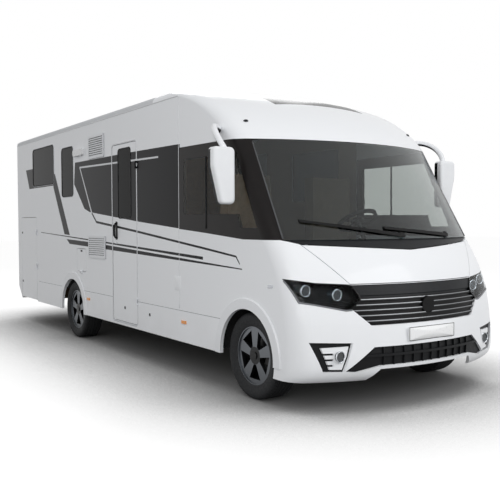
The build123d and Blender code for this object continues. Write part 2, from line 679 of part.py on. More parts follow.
def nose():
    """Bumper, wings, bonnet, grilles and lamps, each cut from one bowed shell."""
    skin = nose_skin(0.0, NOSE_SKIN)
    thin = nose_skin(0.0, BONNET_SKIN)
    deep = nose_skin(0.0, HEADLAMP_DEPTH)
    behind_lamp = nose_skin(0.0, HEADLAMP_DEPTH - HEADLAMP_WALL)
    grille_front = nose_skin(0.0, GRILLE_DEPTH)
    grille_back = nose_skin(0.0, GRILLE_DEPTH + GRILLE_T)
    slat_skin = nose_skin(GRILLE_DEPTH - SLAT_DEPTH - SEAT_GAP, GRILLE_DEPTH - SEAT_GAP)
    cover_skin = nose_skin(0.0, COVER_T)

    crown = [(HALF_W * BONNET_CROWN_SHARES[0], BUMPER_BASE_Z + NOSE_HEIGHT * BONNET_CROWN_SHARES[1])]
    bonnet_line = closed_over(seen_from_front(BONNET_SHARES)) + crown
    (top_y, top_z), _ = seen_from_front(BONNET_SHARES)
    cowl_y = HALF_W * COWL_SHARE
    cowl_line = [(cowl_y, BELT_Z), (top_y, top_z)] + crown + [(-top_y, top_z), (-cowl_y, BELT_Z)]
    lamp_line = seen_from_front(HEADLAMP_SHARES)
    grille_line = closed_over(seen_from_front(GRILLE_SHARES))
    intake_line = closed_over(seen_from_front(INTAKE_SHARES))
    fog_line = seen_from_front(FOG_SHARES)

    bonnet_hole = nose_tool(bonnet_line)
    lamp_hole = both_sides(nose_tool(lamp_line, back=LAMP_BACK))
    grille_hole = nose_tool(grille_line)
    intake_hole = nose_tool(intake_line)
    fog_hole = both_sides(nose_tool(fog_line))
    arches = both_sides(arch_cut(FRONT_AXLE_X, ARCH_R, NOSE_SKIN + OVERRUN))

    reach = HALF_W + OVERRUN
    far = NOSE_X + OVERRUN
    wings_zone = block(JOINT_X, far, -reach, reach, BUMPER_TOP_Z, BELT_Z)
    sill_zone = block(JOINT_X, FRONT_AXLE_X, -reach, reach, SILL_Z, BUMPER_TOP_Z)
    bumper_zone = block(FRONT_AXLE_X, far, -reach, reach, BUMPER_BASE_Z, BUMPER_TOP_Z)
    wings = common(skin, fused([wings_zone, sill_zone]))
    wings = less(wings, bonnet_hole, grille_hole, lamp_hole, arches, nose_tool(cowl_line))
    hinge_x = NOSE_X - BONNET_HINGE_BACK
    pin = across(hinge_x, BONNET_HINGE_Z, BONNET_HINGE_Y - BONNET_LUG_T / 2,
                 BONNET_HINGE_Y + BONNET_PIN_REACH, BONNET_PIN_R)
    wings = fused([wings] + both_sides(pin))
    cowl = common(nose_skin(COWL_INSET, COWL_INSET + COWL_T), nose_tool(cowl_line))
    plate_y = PLATE_W / 2
    plate_seat = block(NOSE_X - PLATE_BACK, far, -plate_y - SEAT_GAP, plate_y + SEAT_GAP,
                       PLATE_Z - SEAT_GAP, PLATE_Z + PLATE_H + SEAT_GAP)
    lip = nose_tool(closed_over(seen_from_front(LIP_SHARES)))
    bumper = less(common(skin, bumper_zone), grille_hole, intake_hole, fog_hole, arches, plate_seat,
                  lip)
    plate = block(NOSE_X - PLATE_BACK, NOSE_X - PLATE_BACK + PLATE_T, -plate_y, plate_y, PLATE_Z,
                  PLATE_Z + PLATE_H)

    bonnet = common(thin, nose_tool(bonnet_line, DOOR_GAP))
    lug = across(hinge_x, BONNET_HINGE_Z, BONNET_HINGE_Y - BONNET_LUG_T / 2,
                 BONNET_HINGE_Y + BONNET_LUG_T / 2, BONNET_LUG_R)
    neck_z = BONNET_HINGE_Z - BONNET_NECK
    neck = block(hinge_x - BONNET_LUG_R, hinge_x + BONNET_LUG_R, BONNET_HINGE_Y - BONNET_LUG_T / 2,
                 BONNET_HINGE_Y + BONNET_LUG_T / 2, neck_z - BONNET_ARM_H, BONNET_HINGE_Z)
    lug_arm = block(hinge_x - BONNET_LUG_R, hinge_x + BONNET_HINGE_Y,
                    BONNET_HINGE_Y - BONNET_LUG_T / 2, BONNET_HINGE_Y + BONNET_LUG_T / 2,
                    neck_z - BONNET_ARM_H, neck_z)
    inside = nose_form(BONNET_SKIN / 2, JOINT_X)
    eye = across(hinge_x, BONNET_HINGE_Z, BONNET_HINGE_Y - BONNET_LUG_T,
                 BONNET_HINGE_Y + BONNET_LUG_T, BONNET_PIN_R + HINGE_PIN_GAP)
    lug = less(fused([lug, neck, common(lug_arm, inside)]), eye)
    bonnet = fused([bonnet] + both_sides(lug))

    bucket = common(deep, nose_tool(lamp_line, back=LAMP_BACK))
    pocket = nose_tool(lamp_line, HEADLAMP_WALL, LAMP_BACK - HEADLAMP_WALL)
    bucket = less(bucket, common(behind_lamp, pocket))
    cover = common(cover_skin, nose_tool(lamp_line, HEADLAMP_WALL + SEAT_GAP,
                                         LAMP_BACK - HEADLAMP_WALL - SEAT_GAP))

    room = nose_skin(0.0, HEADLAMP_DEPTH - HEADLAMP_WALL - SEAT_GAP)
    projectors = []
    for out, up in PROJECTOR_SHARES:
        y = HALF_W * out
        z = BUMPER_BASE_Z + NOSE_HEIGHT * up
        x = front_at(front_x_at(nose_sections(), z), y) - PROJECTOR_BACK
        barrel = rod((x - PROJECTOR_LENGTH, y, z), (x, y, z), PROJECTOR_R)
        lens = rod((x - PROJECTOR_DOME, y, z), (x + PROJECTOR_DOME, y, z), PROJECTOR_LENS_R)
        projectors += both_sides(common(fused([barrel, lens]), room))

    backing = less(grille_back, grille_front)
    lamp_clear = both_sides(nose_tool(lamp_line, -SEAT_GAP, LAMP_BACK + SEAT_GAP))
    grille = less(common(backing, nose_tool(grille_line, -GRILLE_LAP)), lamp_clear)
    bars = []
    for index in range(SLAT_COUNT):
        share = SLAT_LOW_SHARE + (SLAT_HIGH_SHARE - SLAT_LOW_SHARE) * index / (SLAT_COUNT - 1)
        middle = BUMPER_BASE_Z + NOSE_HEIGHT * share
        layer = block(JOINT_X, far, -reach, reach, middle - SLAT_H / 2, middle + SLAT_H / 2)
        bars.append(common(slat_skin, layer, nose_tool(grille_line, SEAT_GAP)))
    intake = common(backing, nose_tool(intake_line, -GRILLE_LAP))
    fog = common(backing, nose_tool(fog_line, -GRILLE_LAP))
    grid = []
    for index in range(GRID_COUNT):
        y = GRID_HALF_W * (2 * index / (GRID_COUNT - 1) - 1)
        grid.append(block(JOINT_X, far, y - GRID_T / 2, y + GRID_T / 2, BUMPER_BASE_Z, BUMPER_TOP_Z))
    upright = common(nose_skin(GRID_T / 2, GRILLE_DEPTH + SEAT_GAP), fused(grid))
    tier = common(nose_skin(0.0, GRILLE_DEPTH + SEAT_GAP),
                  block(JOINT_X, far, -reach, reach, GRID_Z - GRID_T, GRID_Z + GRID_T))
    grid = common(fused([upright, tier]), nose_tool(intake_line, SEAT_GAP))
    lower = fused([intake, grid] + both_sides(fog))

    lamp_y, lamp_z = seen_from_front([FOG_LAMP_SHARES])[0]
    lamp_x = front_at(front_x_at(nose_sections(), lamp_z), lamp_y)
    barrel = rod((lamp_x - OVERRUN * 2, lamp_y, lamp_z), (lamp_x - COVER_T, lamp_y, lamp_z),
                 FOG_LAMP_R)
    behind = nose_form(GRILLE_DEPTH - SEAT_GAP, JOINT_X - OVERRUN)
    fog_lamp = less(barrel, behind)
    insert = common(nose_skin(COVER_T, GRILLE_DEPTH - SEAT_GAP),
                    nose_tool(seen_from_front(FOG_INSERT_SHARES)))
    slots = [rod((JOINT_X, lamp_y, lamp_z), (far, lamp_y, lamp_z), FOG_LAMP_R + SEAT_GAP)]
    for share in FOG_SLOT_SHARES:
        z = BUMPER_BASE_Z + NOSE_HEIGHT * share
        slots.append(block(JOINT_X, far, HALF_W * FOG_SLOT_START_SHARE, HALF_W, z - FOG_SLOT_H / 2,
                           z + FOG_SLOT_H / 2))
    insert = less(insert, slots)

    brow = common(nose_skin(COVER_T, GRILLE_DEPTH + SEAT_GAP), nose_tool(grille_line, SEAT_GAP),
                  block(JOINT_X, far, -reach, reach, BROW_Z, BELT_Z))
    grille = fused([grille, less(brow, lamp_clear)])
    badge_x = front_at(front_x_at(nose_sections(), BADGE_Z), 0)
    badge = rod((badge_x - OVERRUN * 2, 0, BADGE_Z), (badge_x, 0, BADGE_Z), BADGE_R)
    badge = less(badge, behind)
    round_badge = rod((JOINT_X, 0, BADGE_Z), (far, 0, BADGE_Z), BADGE_R + SEAT_GAP)
    bars = [less(bar, round_badge) for bar in bars]
    return {
        "front_wings": wings, "front_bumper": [bumper] + both_sides(insert), "bonnet": bonnet,
        "headlamp_housings": both_sides(bucket), "headlamp_covers": both_sides(cover),
        "headlamp_projectors": projectors, "cowl": cowl,
        "upper_grille": [grille, badge], "grille_bars": bars, "lower_grille": lower,
        "fog_lamps": both_sides(fog_lamp), "number_plate": plate}


# Windscreen seen from the front, and the cab's side window seen from the side
SCREEN_SHARES = [(0.925, 0.0), (0.887, 0.995)]
# Columns: share of the cab's length ahead of the joint, share of the screen's height
CAB_WINDOW_SHARES = [(0.046, 0.865), (0.470, 0.865), (0.618, 0.114), (0.504, 0.114), (0.481, 0.250),
                     (0.046, 0.262)]


def screen():
    """The windscreen, the frame round it with both A-pillars, and the cab's side windows."""
    frame = screen_skin(0.0, SCREEN_FRAME)
    glass = screen_skin(0.0, GLASS)
    rise = SCREEN_TOP_Z - BELT_Z
    half_line = [(HALF_W * out, BELT_Z + rise * up) for out, up in SCREEN_SHARES]
    tool = nose_tool(closed_over(half_line))
    side_line = [(JOINT_X + CAB_LENGTH * along, BELT_Z + rise * up)
                 for along, up in CAB_WINDOW_SHARES]
    side_tool = side_prism(side_line, -HALF_W - OVERRUN, -HALF_W + FRONT_CORNER)
    frame = less(frame, tool, both_sides(side_tool))
    windscreen = common(glass, tool)
    window = common(glass, side_tool)
    return {"window_surround": frame, "windscreen": windscreen, "cab_windows": both_sides(window)}


# Rooflights. Columns: rear edge's distance from the rear, length, width
ROOFLIGHTS = [(900.0, 400.0, 400.0), (2250.0, 280.0, 280.0), (3500.0, 700.0, 500.0)]
ROOFLIGHT_H = 45.0
SKYLIGHT_HALF_W = 540.0
SKYLIGHT_BACK = 1910.0
SKYLIGHT_FRONT = 1420.0
SKYLIGHT_T = 22.0


def roof_front():
    """The roof cap over the cab with its opening, and the front skylight that fills it."""
    shell = less(cap_solid(0.0, CAP_BACK_X), cap_solid(CAP_SKIN, CAP_BACK_X - OVERRUN))
    reach = HALF_W + OVERRUN
    keep = block(JOINT_X, NOSE_X, -reach, reach, SCREEN_TOP_Z, ROOF_SEAM_Z)
    above = block(CAP_BACK_X, NOSE_X, -reach, reach, ROOF_SEAM_Z, ROOF_Z + OVERRUN)
    cap = common(shell, fused([keep, above]))
    tool = block(NOSE_X - SKYLIGHT_BACK, NOSE_X - SKYLIGHT_FRONT, -SKYLIGHT_HALF_W,
                 SKYLIGHT_HALF_W, SCREEN_TOP_Z, ROOF_Z + OVERRUN)
    light = less(cap_solid(0.0, CAP_BACK_X), cap_solid(SKYLIGHT_T, CAP_BACK_X - OVERRUN))
    light = common(light, tool)
    cap = less(cap, tool)
    lights = []
    for back, length, width in ROOFLIGHTS:
        rear = REAR_X + back
        lights.append(block(rear, rear + length, -width / 2, width / 2, ROOF_Z,
                            ROOF_Z + ROOFLIGHT_H))
    return {"roof_cap": cap, "skylight": light, "rooflights": lights}


# Running gear
RAIL_W = 70.0
RAIL_H = 120.0
RAIL_HALF_GAP = 430.0
RAIL_FRONT_BACK = 350.0
RAIL_REAR_IN = 1110.0
CROSS_W = 60.0
CROSS_COUNT = 6
JACK_PAD_BACK = 3450.0
JACK_PAD_L = 120.0
JACK_PAD_T = 10.0
KINGPIN_LEAN = 0.2
KINGPIN_INSET = 108.0
BALL_Z = 215.0
STRUT_FOOT_Z = 560.0
STRUT_TOP_Z = 760.0
STRUT_R = 27.0
STRUT_ROD_R = 11.0
STRUT_MOUNT_Z = 900.0
STRUT_MOUNT_R = 55.0
STRUT_MOUNT_T = 14.0
TOWER_W = 90.0
CALIPER_OUT = 172.0
CALIPER_IN = 98.0
CALIPER_H = 130.0
CALIPER_T = 26.0
CALIPER_GAP = 5.0
UPRIGHT_HALF_T = 21.0
UPRIGHT_HALF_W = 34.0
HUB_FLANGE_R = 55.0
HUB_FLANGE_T = 26.0
ARM_T = 22.0
ARM_HALF_FOOT = 170.0
SUBFRAME_HALF_L = 255.0
ARM_END_R = 32.0
SUBFRAME_HALF_W = 445.0
SUBFRAME_T = 50.0
BALL_PIN_R = 10.0
AXLE_BEAM_R = 42.0
LEAF_Y = 620.0
LEAF_HALF_W = 35.0
LEAF_T = 24.0
LEAF_LENGTH = 1300.0
LEAF_EYE_R = 26.0
FLOOR_BASE_Z = FLOOR_TOP_Z - FLOOR_T
RAIL_BASE_Z = FLOOR_BASE_Z - RAIL_H


def kingpin(side):
    """The steering axis on one side: (point at the wheel centre's height, unit direction)."""
    y = side * (FRONT_HALF_TRACK - KINGPIN_INSET)
    size = sqrt(1 + KINGPIN_LEAN ** 2)
    return Vector(FRONT_AXLE_X, y, WHEEL_R), Vector(0, -side * KINGPIN_LEAN / size, 1 / size)


def on_kingpin(z):
    """The point of the right-hand steering axis at a height."""
    point, lean = kingpin(-1)
    return point + lean * ((z - point.Z) / lean.Z)


# Wheels
# Share of a spoke's turn that is open, and how much narrower the gap is at the hub
SPOKE_GAP_SHARE = 0.62
GAP_FOOT_SHARE = 0.6
DISC_T = 34.0
RIM_BARREL_T = 8.0
RIM_WIDTH = 190.0
HUB_R = 62.0
HUB_LENGTH = 110.0
BRAKE_R = 140.0
BRAKE_T = 24.0
BRAKE_IN = 70.0
SPOKES = 5
STUB_LENGTH = 150.0
TREAD_SHARE = 0.5


def tyre(axle_x, y):
    """A low tyre: sidewalls that widen from the bead to a flat crown."""
    bead = (RIM_WIDTH / 2, RIM_R + SEAT_GAP)
    shoulder = (TYRE_W * TREAD_SHARE, WHEEL_R)
    points = [bead, shoulder]
    loop = points + [(-w, r) for w, r in reversed(points)]
    face = Face(Wire.make_polygon([(axle_x, y + w, WHEEL_R + r) for w, r in loop]))
    return revolve(face, Axis((axle_x, 0, WHEEL_R), (0, 1, 0)))


def rim(axle_x, y, side):
    """An alloy rim: barrel and lips, five broad spokes, hub and brake disc."""
    axis = Axis((axle_x, 0, WHEEL_R), (0, 1, 0))
    half = RIM_WIDTH / 2
    seat = RIM_R
    well = RIM_R - RIM_BARREL_T
    lip_in = RIM_R - RIM_BARREL_T * 3
    barrel = [(-half, seat), (half, seat), (half, well), (-half, well)]
    face_y = half - RIM_FACE_INSET
    disc = [(face_y, lip_in + RIM_BARREL_T * 2), (face_y, HUB_R), (face_y - DISC_T, HUB_R),
            (face_y - DISC_T, lip_in + RIM_BARREL_T * 2)]
    hub = [(face_y, STUB_R + HUB_GAP), (face_y, HUB_R), (face_y - HUB_LENGTH, HUB_R),
           (face_y - HUB_LENGTH, STUB_R + HUB_GAP)]
    brake_y = face_y - BRAKE_IN
    brake = [(brake_y, HUB_R), (brake_y, BRAKE_R), (brake_y - BRAKE_T, BRAKE_R),
             (brake_y - BRAKE_T, HUB_R)]

    def turned(loop):
        points = [(axle_x, y + side * w, WHEEL_R + r) for w, r in loop]
        return revolve(Face(Wire.make_polygon(points)), axis)

    plate = turned(disc)
    holes = []
    for index in range(SPOKES):
        turn = 2 * pi * (index + 0.5) / SPOKES
        spread = pi / SPOKES * SPOKE_GAP_SHARE
        low = HUB_R + RIM_BARREL_T * 2
        high = lip_in - RIM_BARREL_T
        loop = [(low, turn - spread * GAP_FOOT_SHARE), (high, turn - spread), (high, turn + spread),
                (low, turn + spread * GAP_FOOT_SHARE)]
        points = [(axle_x + r * sin(a), y - HALF_W, WHEEL_R + r * cos(a)) for r, a in loop]
        hole = Solid.extrude(Face(Wire.make_polygon(points)), Vector(0, WIDTH, 0))
        holes.append(hole)
    plate = less(plate, holes)
    cap = across(axle_x, WHEEL_R, y + side * face_y, y + side * (face_y + RIM_BARREL_T), HUB_R / 2)
    return fused([turned(barrel), plate, turned(hub), turned(brake), cap])


def wheels():
    """Four tyres and four rims."""
    found = {}
    places = [("fr", FRONT_AXLE_X, FRONT_HALF_TRACK, -1), ("fl", FRONT_AXLE_X, FRONT_HALF_TRACK, 1),
              ("rr", REAR_AXLE_X, REAR_HALF_TRACK, -1), ("rl", REAR_AXLE_X, REAR_HALF_TRACK, 1)]
    for name, axle_x, half_track, side in places:
        found["tyre_" + name] = tyre(axle_x, side * half_track)
        found["rim_" + name] = rim(axle_x, side * half_track, side)
    return found


def knuckle():
    """The right-hand knuckle: upright and strut tube on the leaning axis, stub axle, caliper."""
    foot = on_kingpin(BALL_Z + ARM_T)
    head = on_kingpin(STRUT_FOOT_Z)
    top = on_kingpin(STRUT_TOP_Z)
    pin = on_kingpin(BALL_Z - ARM_T)
    outline = [(foot.Y - UPRIGHT_HALF_T, foot.Z), (foot.Y + UPRIGHT_HALF_T, foot.Z),
               (head.Y + UPRIGHT_HALF_T, head.Z), (head.Y - UPRIGHT_HALF_T, head.Z)]
    upright = front_prism(outline, FRONT_AXLE_X - UPRIGHT_HALF_W, FRONT_AXLE_X + UPRIGHT_HALF_W)
    axle_y = on_kingpin(WHEEL_R).Y
    stub = across(FRONT_AXLE_X, WHEEL_R, axle_y, axle_y - STUB_LENGTH, STUB_R)
    flange = across(FRONT_AXLE_X, WHEEL_R, axle_y, axle_y - HUB_FLANGE_T, HUB_FLANGE_R)
    bore = rod(on_kingpin(STRUT_TOP_Z - STRUT_MOUNT_R * 2), top, STRUT_ROD_R + SEAT_GAP)
    tube = less(rod(head, top, STRUT_R), bore)
    ball = rod(pin, foot, BALL_PIN_R)
    face_y = -FRONT_HALF_TRACK - RIM_WIDTH / 2 + RIM_FACE_INSET
    disc_y = face_y + BRAKE_IN
    caliper = block(FRONT_AXLE_X, FRONT_AXLE_X + CALIPER_OUT, disc_y - CALIPER_T,
                    disc_y + BRAKE_T + CALIPER_T, WHEEL_R - CALIPER_H / 2, WHEEL_R + CALIPER_H / 2)
    ring = across(FRONT_AXLE_X, WHEEL_R, disc_y - CALIPER_T * 2, disc_y + BRAKE_T + CALIPER_T * 2,
                  CALIPER_IN)
    slot = across(FRONT_AXLE_X, WHEEL_R, disc_y - CALIPER_GAP, disc_y + BRAKE_T + CALIPER_GAP,
                  BRAKE_R + CALIPER_GAP)
    bracket = block(FRONT_AXLE_X + UPRIGHT_HALF_W / 2, FRONT_AXLE_X + CALIPER_OUT,
                    face_y + HUB_LENGTH + CALIPER_GAP, on_kingpin(WHEEL_R).Y + UPRIGHT_HALF_T / 2,
                    WHEEL_R - CALIPER_H / 4, WHEEL_R + CALIPER_H / 4)
    caliper = less(caliper, ring, slot)
    return fused([upright, stub, flange, tube, ball, bracket, caliper])


def running_gear():
    """Ladder frame, front subframe with arms and struts, rear axle on its springs."""
    rail_rear = REAR_X + RAIL_REAR_IN
    rail_front = NOSE_X - RAIL_FRONT_BACK
    rail = block(rail_rear, rail_front, RAIL_HALF_GAP, RAIL_HALF_GAP + RAIL_W, RAIL_BASE_Z,
                 FLOOR_BASE_Z)
    members = [rail, mirrored(rail)]
    for index in range(CROSS_COUNT):
        x = rail_rear + (rail_front - rail_rear - CROSS_W) * index / (CROSS_COUNT - 1)
        members.append(block(x, x + CROSS_W, -RAIL_HALF_GAP, RAIL_HALF_GAP,
                             RAIL_BASE_Z + RAIL_W / 2, FLOOR_BASE_Z))
    engine_back, engine_length, engine_half, _, _ = ENGINE
    for x in (NOSE_X - engine_back - engine_length + ENGINE_MOUNT,
              NOSE_X - engine_back - ENGINE_MOUNT * 2):
        members += both_sides(block(x, x + ENGINE_MOUNT, engine_half + SEAT_GAP, RAIL_HALF_GAP,
                                    FLOOR_BASE_Z - ENGINE_MOUNT, FLOOR_BASE_Z))
    mount = on_kingpin(STRUT_MOUNT_Z)
    tower = block(FRONT_AXLE_X - TOWER_W / 2, FRONT_AXLE_X + TOWER_W / 2, -RAIL_HALF_GAP - RAIL_W,
                  -RAIL_HALF_GAP, FLOOR_BASE_Z, STRUT_MOUNT_Z + STRUT_MOUNT_T)
    shelf = block(FRONT_AXLE_X - TOWER_W / 2, FRONT_AXLE_X + TOWER_W / 2, mount.Y, -RAIL_HALF_GAP,
                  STRUT_MOUNT_Z, STRUT_MOUNT_Z + STRUT_MOUNT_T)
    plate = rod((FRONT_AXLE_X, mount.Y, STRUT_MOUNT_Z),
                (FRONT_AXLE_X, mount.Y, STRUT_MOUNT_Z + STRUT_MOUNT_T), STRUT_MOUNT_R)
    strut = rod(on_kingpin(STRUT_TOP_Z - STRUT_MOUNT_R * 2 + SEAT_GAP), mount, STRUT_ROD_R)
    members += both_sides(tower) + both_sides(fused([shelf, plate, strut]))
    pad = block(NOSE_X - JACK_PAD_BACK - JACK_PAD_L, NOSE_X - JACK_PAD_BACK, RAIL_HALF_GAP,
                RAIL_HALF_GAP + RAIL_W, RAIL_BASE_Z - JACK_PAD_T, RAIL_BASE_Z)
    members += both_sides(pad)
    frame = fused(members)

    ball = on_kingpin(BALL_Z)
    plan = [(FRONT_AXLE_X - ARM_HALF_FOOT, -SUBFRAME_HALF_W), (FRONT_AXLE_X - ARM_END_R, ball.Y),
            (FRONT_AXLE_X + ARM_END_R, ball.Y), (FRONT_AXLE_X + ARM_HALF_FOOT, -SUBFRAME_HALF_W)]
    arm = plan_prism(plan, BALL_Z - ARM_T / 2, BALL_Z + ARM_T / 2)
    end = rod((FRONT_AXLE_X, ball.Y, BALL_Z - ARM_T / 2), (FRONT_AXLE_X, ball.Y, BALL_Z + ARM_T / 2),
              ARM_END_R)
    socket = rod(on_kingpin(BALL_Z - ARM_T * 2), on_kingpin(BALL_Z + ARM_T * 2),
                 BALL_PIN_R + SEAT_GAP)
    arm = less(fused([arm, end]), socket)
    cradle = block(FRONT_AXLE_X - SUBFRAME_HALF_L, FRONT_AXLE_X + SUBFRAME_HALF_L,
                   -SUBFRAME_HALF_W, SUBFRAME_HALF_W, BALL_Z - SUBFRAME_T / 2,
                   BALL_Z + SUBFRAME_T / 2)
    posts = []
    for x in (FRONT_AXLE_X - SUBFRAME_HALF_L, FRONT_AXLE_X + SUBFRAME_HALF_L - CROSS_W):
        posts += both_sides(block(x, x + CROSS_W, RAIL_HALF_GAP, RAIL_HALF_GAP + RAIL_W,
                                  BALL_Z - SUBFRAME_T / 2, RAIL_BASE_Z))
    subframe = fused([cradle] + both_sides(arm) + posts)

    beam = across(REAR_AXLE_X, WHEEL_R, -REAR_HALF_TRACK + TYRE_W / 2 + CROSS_W,
                  REAR_HALF_TRACK - TYRE_W / 2 - CROSS_W, AXLE_BEAM_R)
    inner_stub = across(REAR_AXLE_X, WHEEL_R, -REAR_HALF_TRACK + TYRE_W / 2 + CROSS_W,
                        -REAR_HALF_TRACK - RIM_WIDTH / 4, STUB_R)
    strip = leaf_strip(LEAF_LENGTH / 2, LEAF_EYE_R * 3)
    axle = fused([beam] + both_sides(inner_stub) + both_sides(strip))
    return {"chassis_frame": frame, "front_suspension": subframe, "rear_axle": axle}


def leaf_strip(half_leaf, sag):
    """A leaf spring: a bowed strip between two arcs, with an eye and a hanger at each end."""
    base = WHEEL_R + AXLE_BEAM_R - LEAF_T / 2
    y0 = -LEAF_Y - LEAF_HALF_W
    left = REAR_AXLE_X - half_leaf
    right = REAR_AXLE_X + half_leaf
    wire = Wire([
        Edge.make_three_point_arc((left, y0, base + sag), (REAR_AXLE_X, y0, base),
                                  (right, y0, base + sag)),
        Edge.make_line((right, y0, base + sag), (right, y0, base + sag + LEAF_T)),
        Edge.make_three_point_arc((right, y0, base + sag + LEAF_T), (REAR_AXLE_X, y0, base + LEAF_T),
                                  (left, y0, base + sag + LEAF_T)),
        Edge.make_line((left, y0, base + sag + LEAF_T), (left, y0, base + sag))])
    strip = Solid.extrude(Face(wire), Vector(0, LEAF_HALF_W * 2, 0))
    hangers = []
    for x in (left, right - LEAF_EYE_R):
        hangers.append(block(x, x + LEAF_EYE_R, -LEAF_Y - LEAF_HALF_W, -LEAF_Y + LEAF_HALF_W,
                             base + sag, FLOOR_BASE_Z))
    return fused([strip] + hangers)


def wheel_housings():
    """Liners that close the floor over each wheel."""
    found = []
    rows = [(REAR_AXLE_X, ARCH_R, WALL, REAR_HOUSE_DEPTH, FLOOR_BASE_Z),
            (FRONT_AXLE_X, FRONT_HOUSE_R, CAB_SKIN, FRONT_HOUSE_DEPTH, WHEEL_R)]
    for axle_x, radius, skin, depth, low in rows:
        outer = across(axle_x, WHEEL_R, -HALF_W + skin, -HALF_W + depth, radius + LINER_T)
        inner = across(axle_x, WHEEL_R, -HALF_W, -HALF_W + depth - LINER_T, radius)
        keep = block(axle_x - radius * 2, axle_x + radius * 2, -HALF_W, 0, low, BELT_Z)
        liner = common(less(outer, inner), keep)
        if skin == CAB_SKIN:
            hole = rod(on_kingpin(STRUT_FOOT_Z), on_kingpin(STRUT_MOUNT_Z), STRUT_MOUNT_R)
            liner = less(liner, hole)
        found += both_sides(liner)
    return {"wheel_housings": found}


# Floor
STEP_DEPTH = 330.0
GARAGE_BASE_Z = 396.0
GARAGE_T = 30.0
GARAGE_REAR_IN = 290.0
FLOOR_FRONT_BACK = 1055.0
FIREWALL_T = 20.0
STEP_T = 8.0


def floor():
    """The floor: a lowered garage pan, the living floor and the cab floor with its bulkhead."""
    _, garage_front, _, _ = edges_of(GARAGE_DOOR)
    door_rear, door_front, door_low, _ = edges_of(DOORWAY)
    rear_in = REAR_X + REAR_CORNER
    pan_rear = REAR_X + GARAGE_REAR_IN
    front = NOSE_X - FLOOR_FRONT_BACK
    outline = [(rear_in, FLOOR_TOP_Z), (pan_rear, FLOOR_TOP_Z), (pan_rear, GARAGE_BASE_Z),
               (garage_front + WALL, GARAGE_BASE_Z), (garage_front + WALL, FLOOR_TOP_Z),
               (front, FLOOR_TOP_Z), (front, FLOOR_BASE_Z),
               (garage_front + WALL + GARAGE_T, FLOOR_BASE_Z),
               (garage_front + WALL + GARAGE_T, GARAGE_BASE_Z - GARAGE_T),
               (pan_rear - GARAGE_T, GARAGE_BASE_Z - GARAGE_T), (pan_rear - GARAGE_T, SILL_Z),
               (rear_in, SILL_Z)]
    slab = side_prism(outline, -INNER_W, INNER_W)
    cutters = []
    for axle_x, radius, depth in ((REAR_AXLE_X, ARCH_R, REAR_HOUSE_DEPTH),
                                  (FRONT_AXLE_X, FRONT_HOUSE_R, FRONT_HOUSE_DEPTH)):
        cutters += both_sides(arch_cut(axle_x, radius + LINER_T + SEAT_GAP, depth + SEAT_GAP))
    cutters.append(block(door_rear - SEAT_GAP, door_front + SEAT_GAP, -HALF_W,
                         -INNER_W + STEP_DEPTH, FLOOR_BASE_Z - OVERRUN, FLOOR_TOP_Z + OVERRUN))
    bulkhead = block(front - FIREWALL_T, front, -HALF_W + FRONT_HOUSE_DEPTH + SEAT_GAP,
                     HALF_W - FRONT_HOUSE_DEPTH - SEAT_GAP, FLOOR_TOP_Z, DASH_BASE_Z)
    garage_rear = garage_front - GARAGE_DOOR[1]
    cutters += both_sides(block(garage_rear, garage_front, INNER_W - DOOR_GAP, HALF_W, 0,
                                FLOOR_TOP_Z - OVERRUN))
    slab = less(slab, cutters)
    step_y = -INNER_W + STEP_DEPTH
    low = door_low + DOOR_GAP
    tray = block(door_rear, door_front, -INNER_W + DOOR_GAP, step_y - SEAT_GAP, low, FLOOR_TOP_Z)
    tray = less(tray, block(door_rear + STEP_T, door_front - STEP_T, -HALF_W, step_y - STEP_T,
                            low + STEP_T, FLOOR_TOP_Z + OVERRUN))
    return {"floor": fused([slab, bulkhead]), "entry_step": tray}


# Underfloor units. Columns: rear end's distance from the rear, length, inner and outer distance
# from the middle, base height, height, side (-1 right, 1 left)
UNITS = [(4700.0, 620.0, 540.0, 1060.0, 330.0, 290.0, -1),
         (3350.0, 480.0, 540.0, 1060.0, 380.0, 240.0, -1),
         (3600.0, 1300.0, 540.0, 1060.0, 350.0, 270.0, 1)]
UNIT_CORNER = 50.0
# Distance of the front face from the nose, length, half width, base height, height
ENGINE = (440.0, 490.0, 380.0, 420.0, 580.0)
ENGINE_MOUNT = 60.0


def underbody():
    """Tanks, exhaust and the engine as one plain block."""
    tanks = []
    for back, length, inner, outer, low, height, side in UNITS:
        rear = REAR_X + back
        y0, y1 = sorted((side * inner, side * outer))
        tanks.append(rounded_block(rear, rear + length, y0, y1, low, low + height, UNIT_CORNER))
    back, length, half, low, height = ENGINE
    engine = block(NOSE_X - back - length, NOSE_X - back, -half, half, low, low + height)
    return {"underfloor_tanks": tanks, "engine_block": engine}


# Cab and living fittings
DASH_SHARES = [(0.0, 0.0), (0.30, 0.0), (0.55, 0.55), (1.0, 0.86), (1.0, 1.0), (0.42, 1.0),
               (0.20, 0.80), (0.0, 0.72)]
DASH_DEPTH = 520.0
DASH_BASE_Z = 1010.0
DASH_HEIGHT = 300.0
DASH_FRONT_BACK = 700.0
DASH_HALF_W = 1040.0
SEAT_WIDTH = 500.0
SEAT_DEPTH = 520.0
SEAT_T = 150.0
SEAT_BASE_Z = 1080.0
SEAT_BACK_H = 720.0
SEAT_BACK_T = 140.0
SEAT_HALF_GAP = 520.0
SEAT_BACK = 1950.0
PLINTH = 300.0
STEERING_R = 190.0
STEERING_TUBE_R = 15.0
STEERING_X_BACK = 1380.0
STEERING_Y = 430.0
STEERING_Z = 1500.0
STEERING_TILT = 30.0
STEERING_ARM_TURNS = (0, 90, 180)
COLUMN_R = 24.0
COLUMN_LENGTH = 360.0


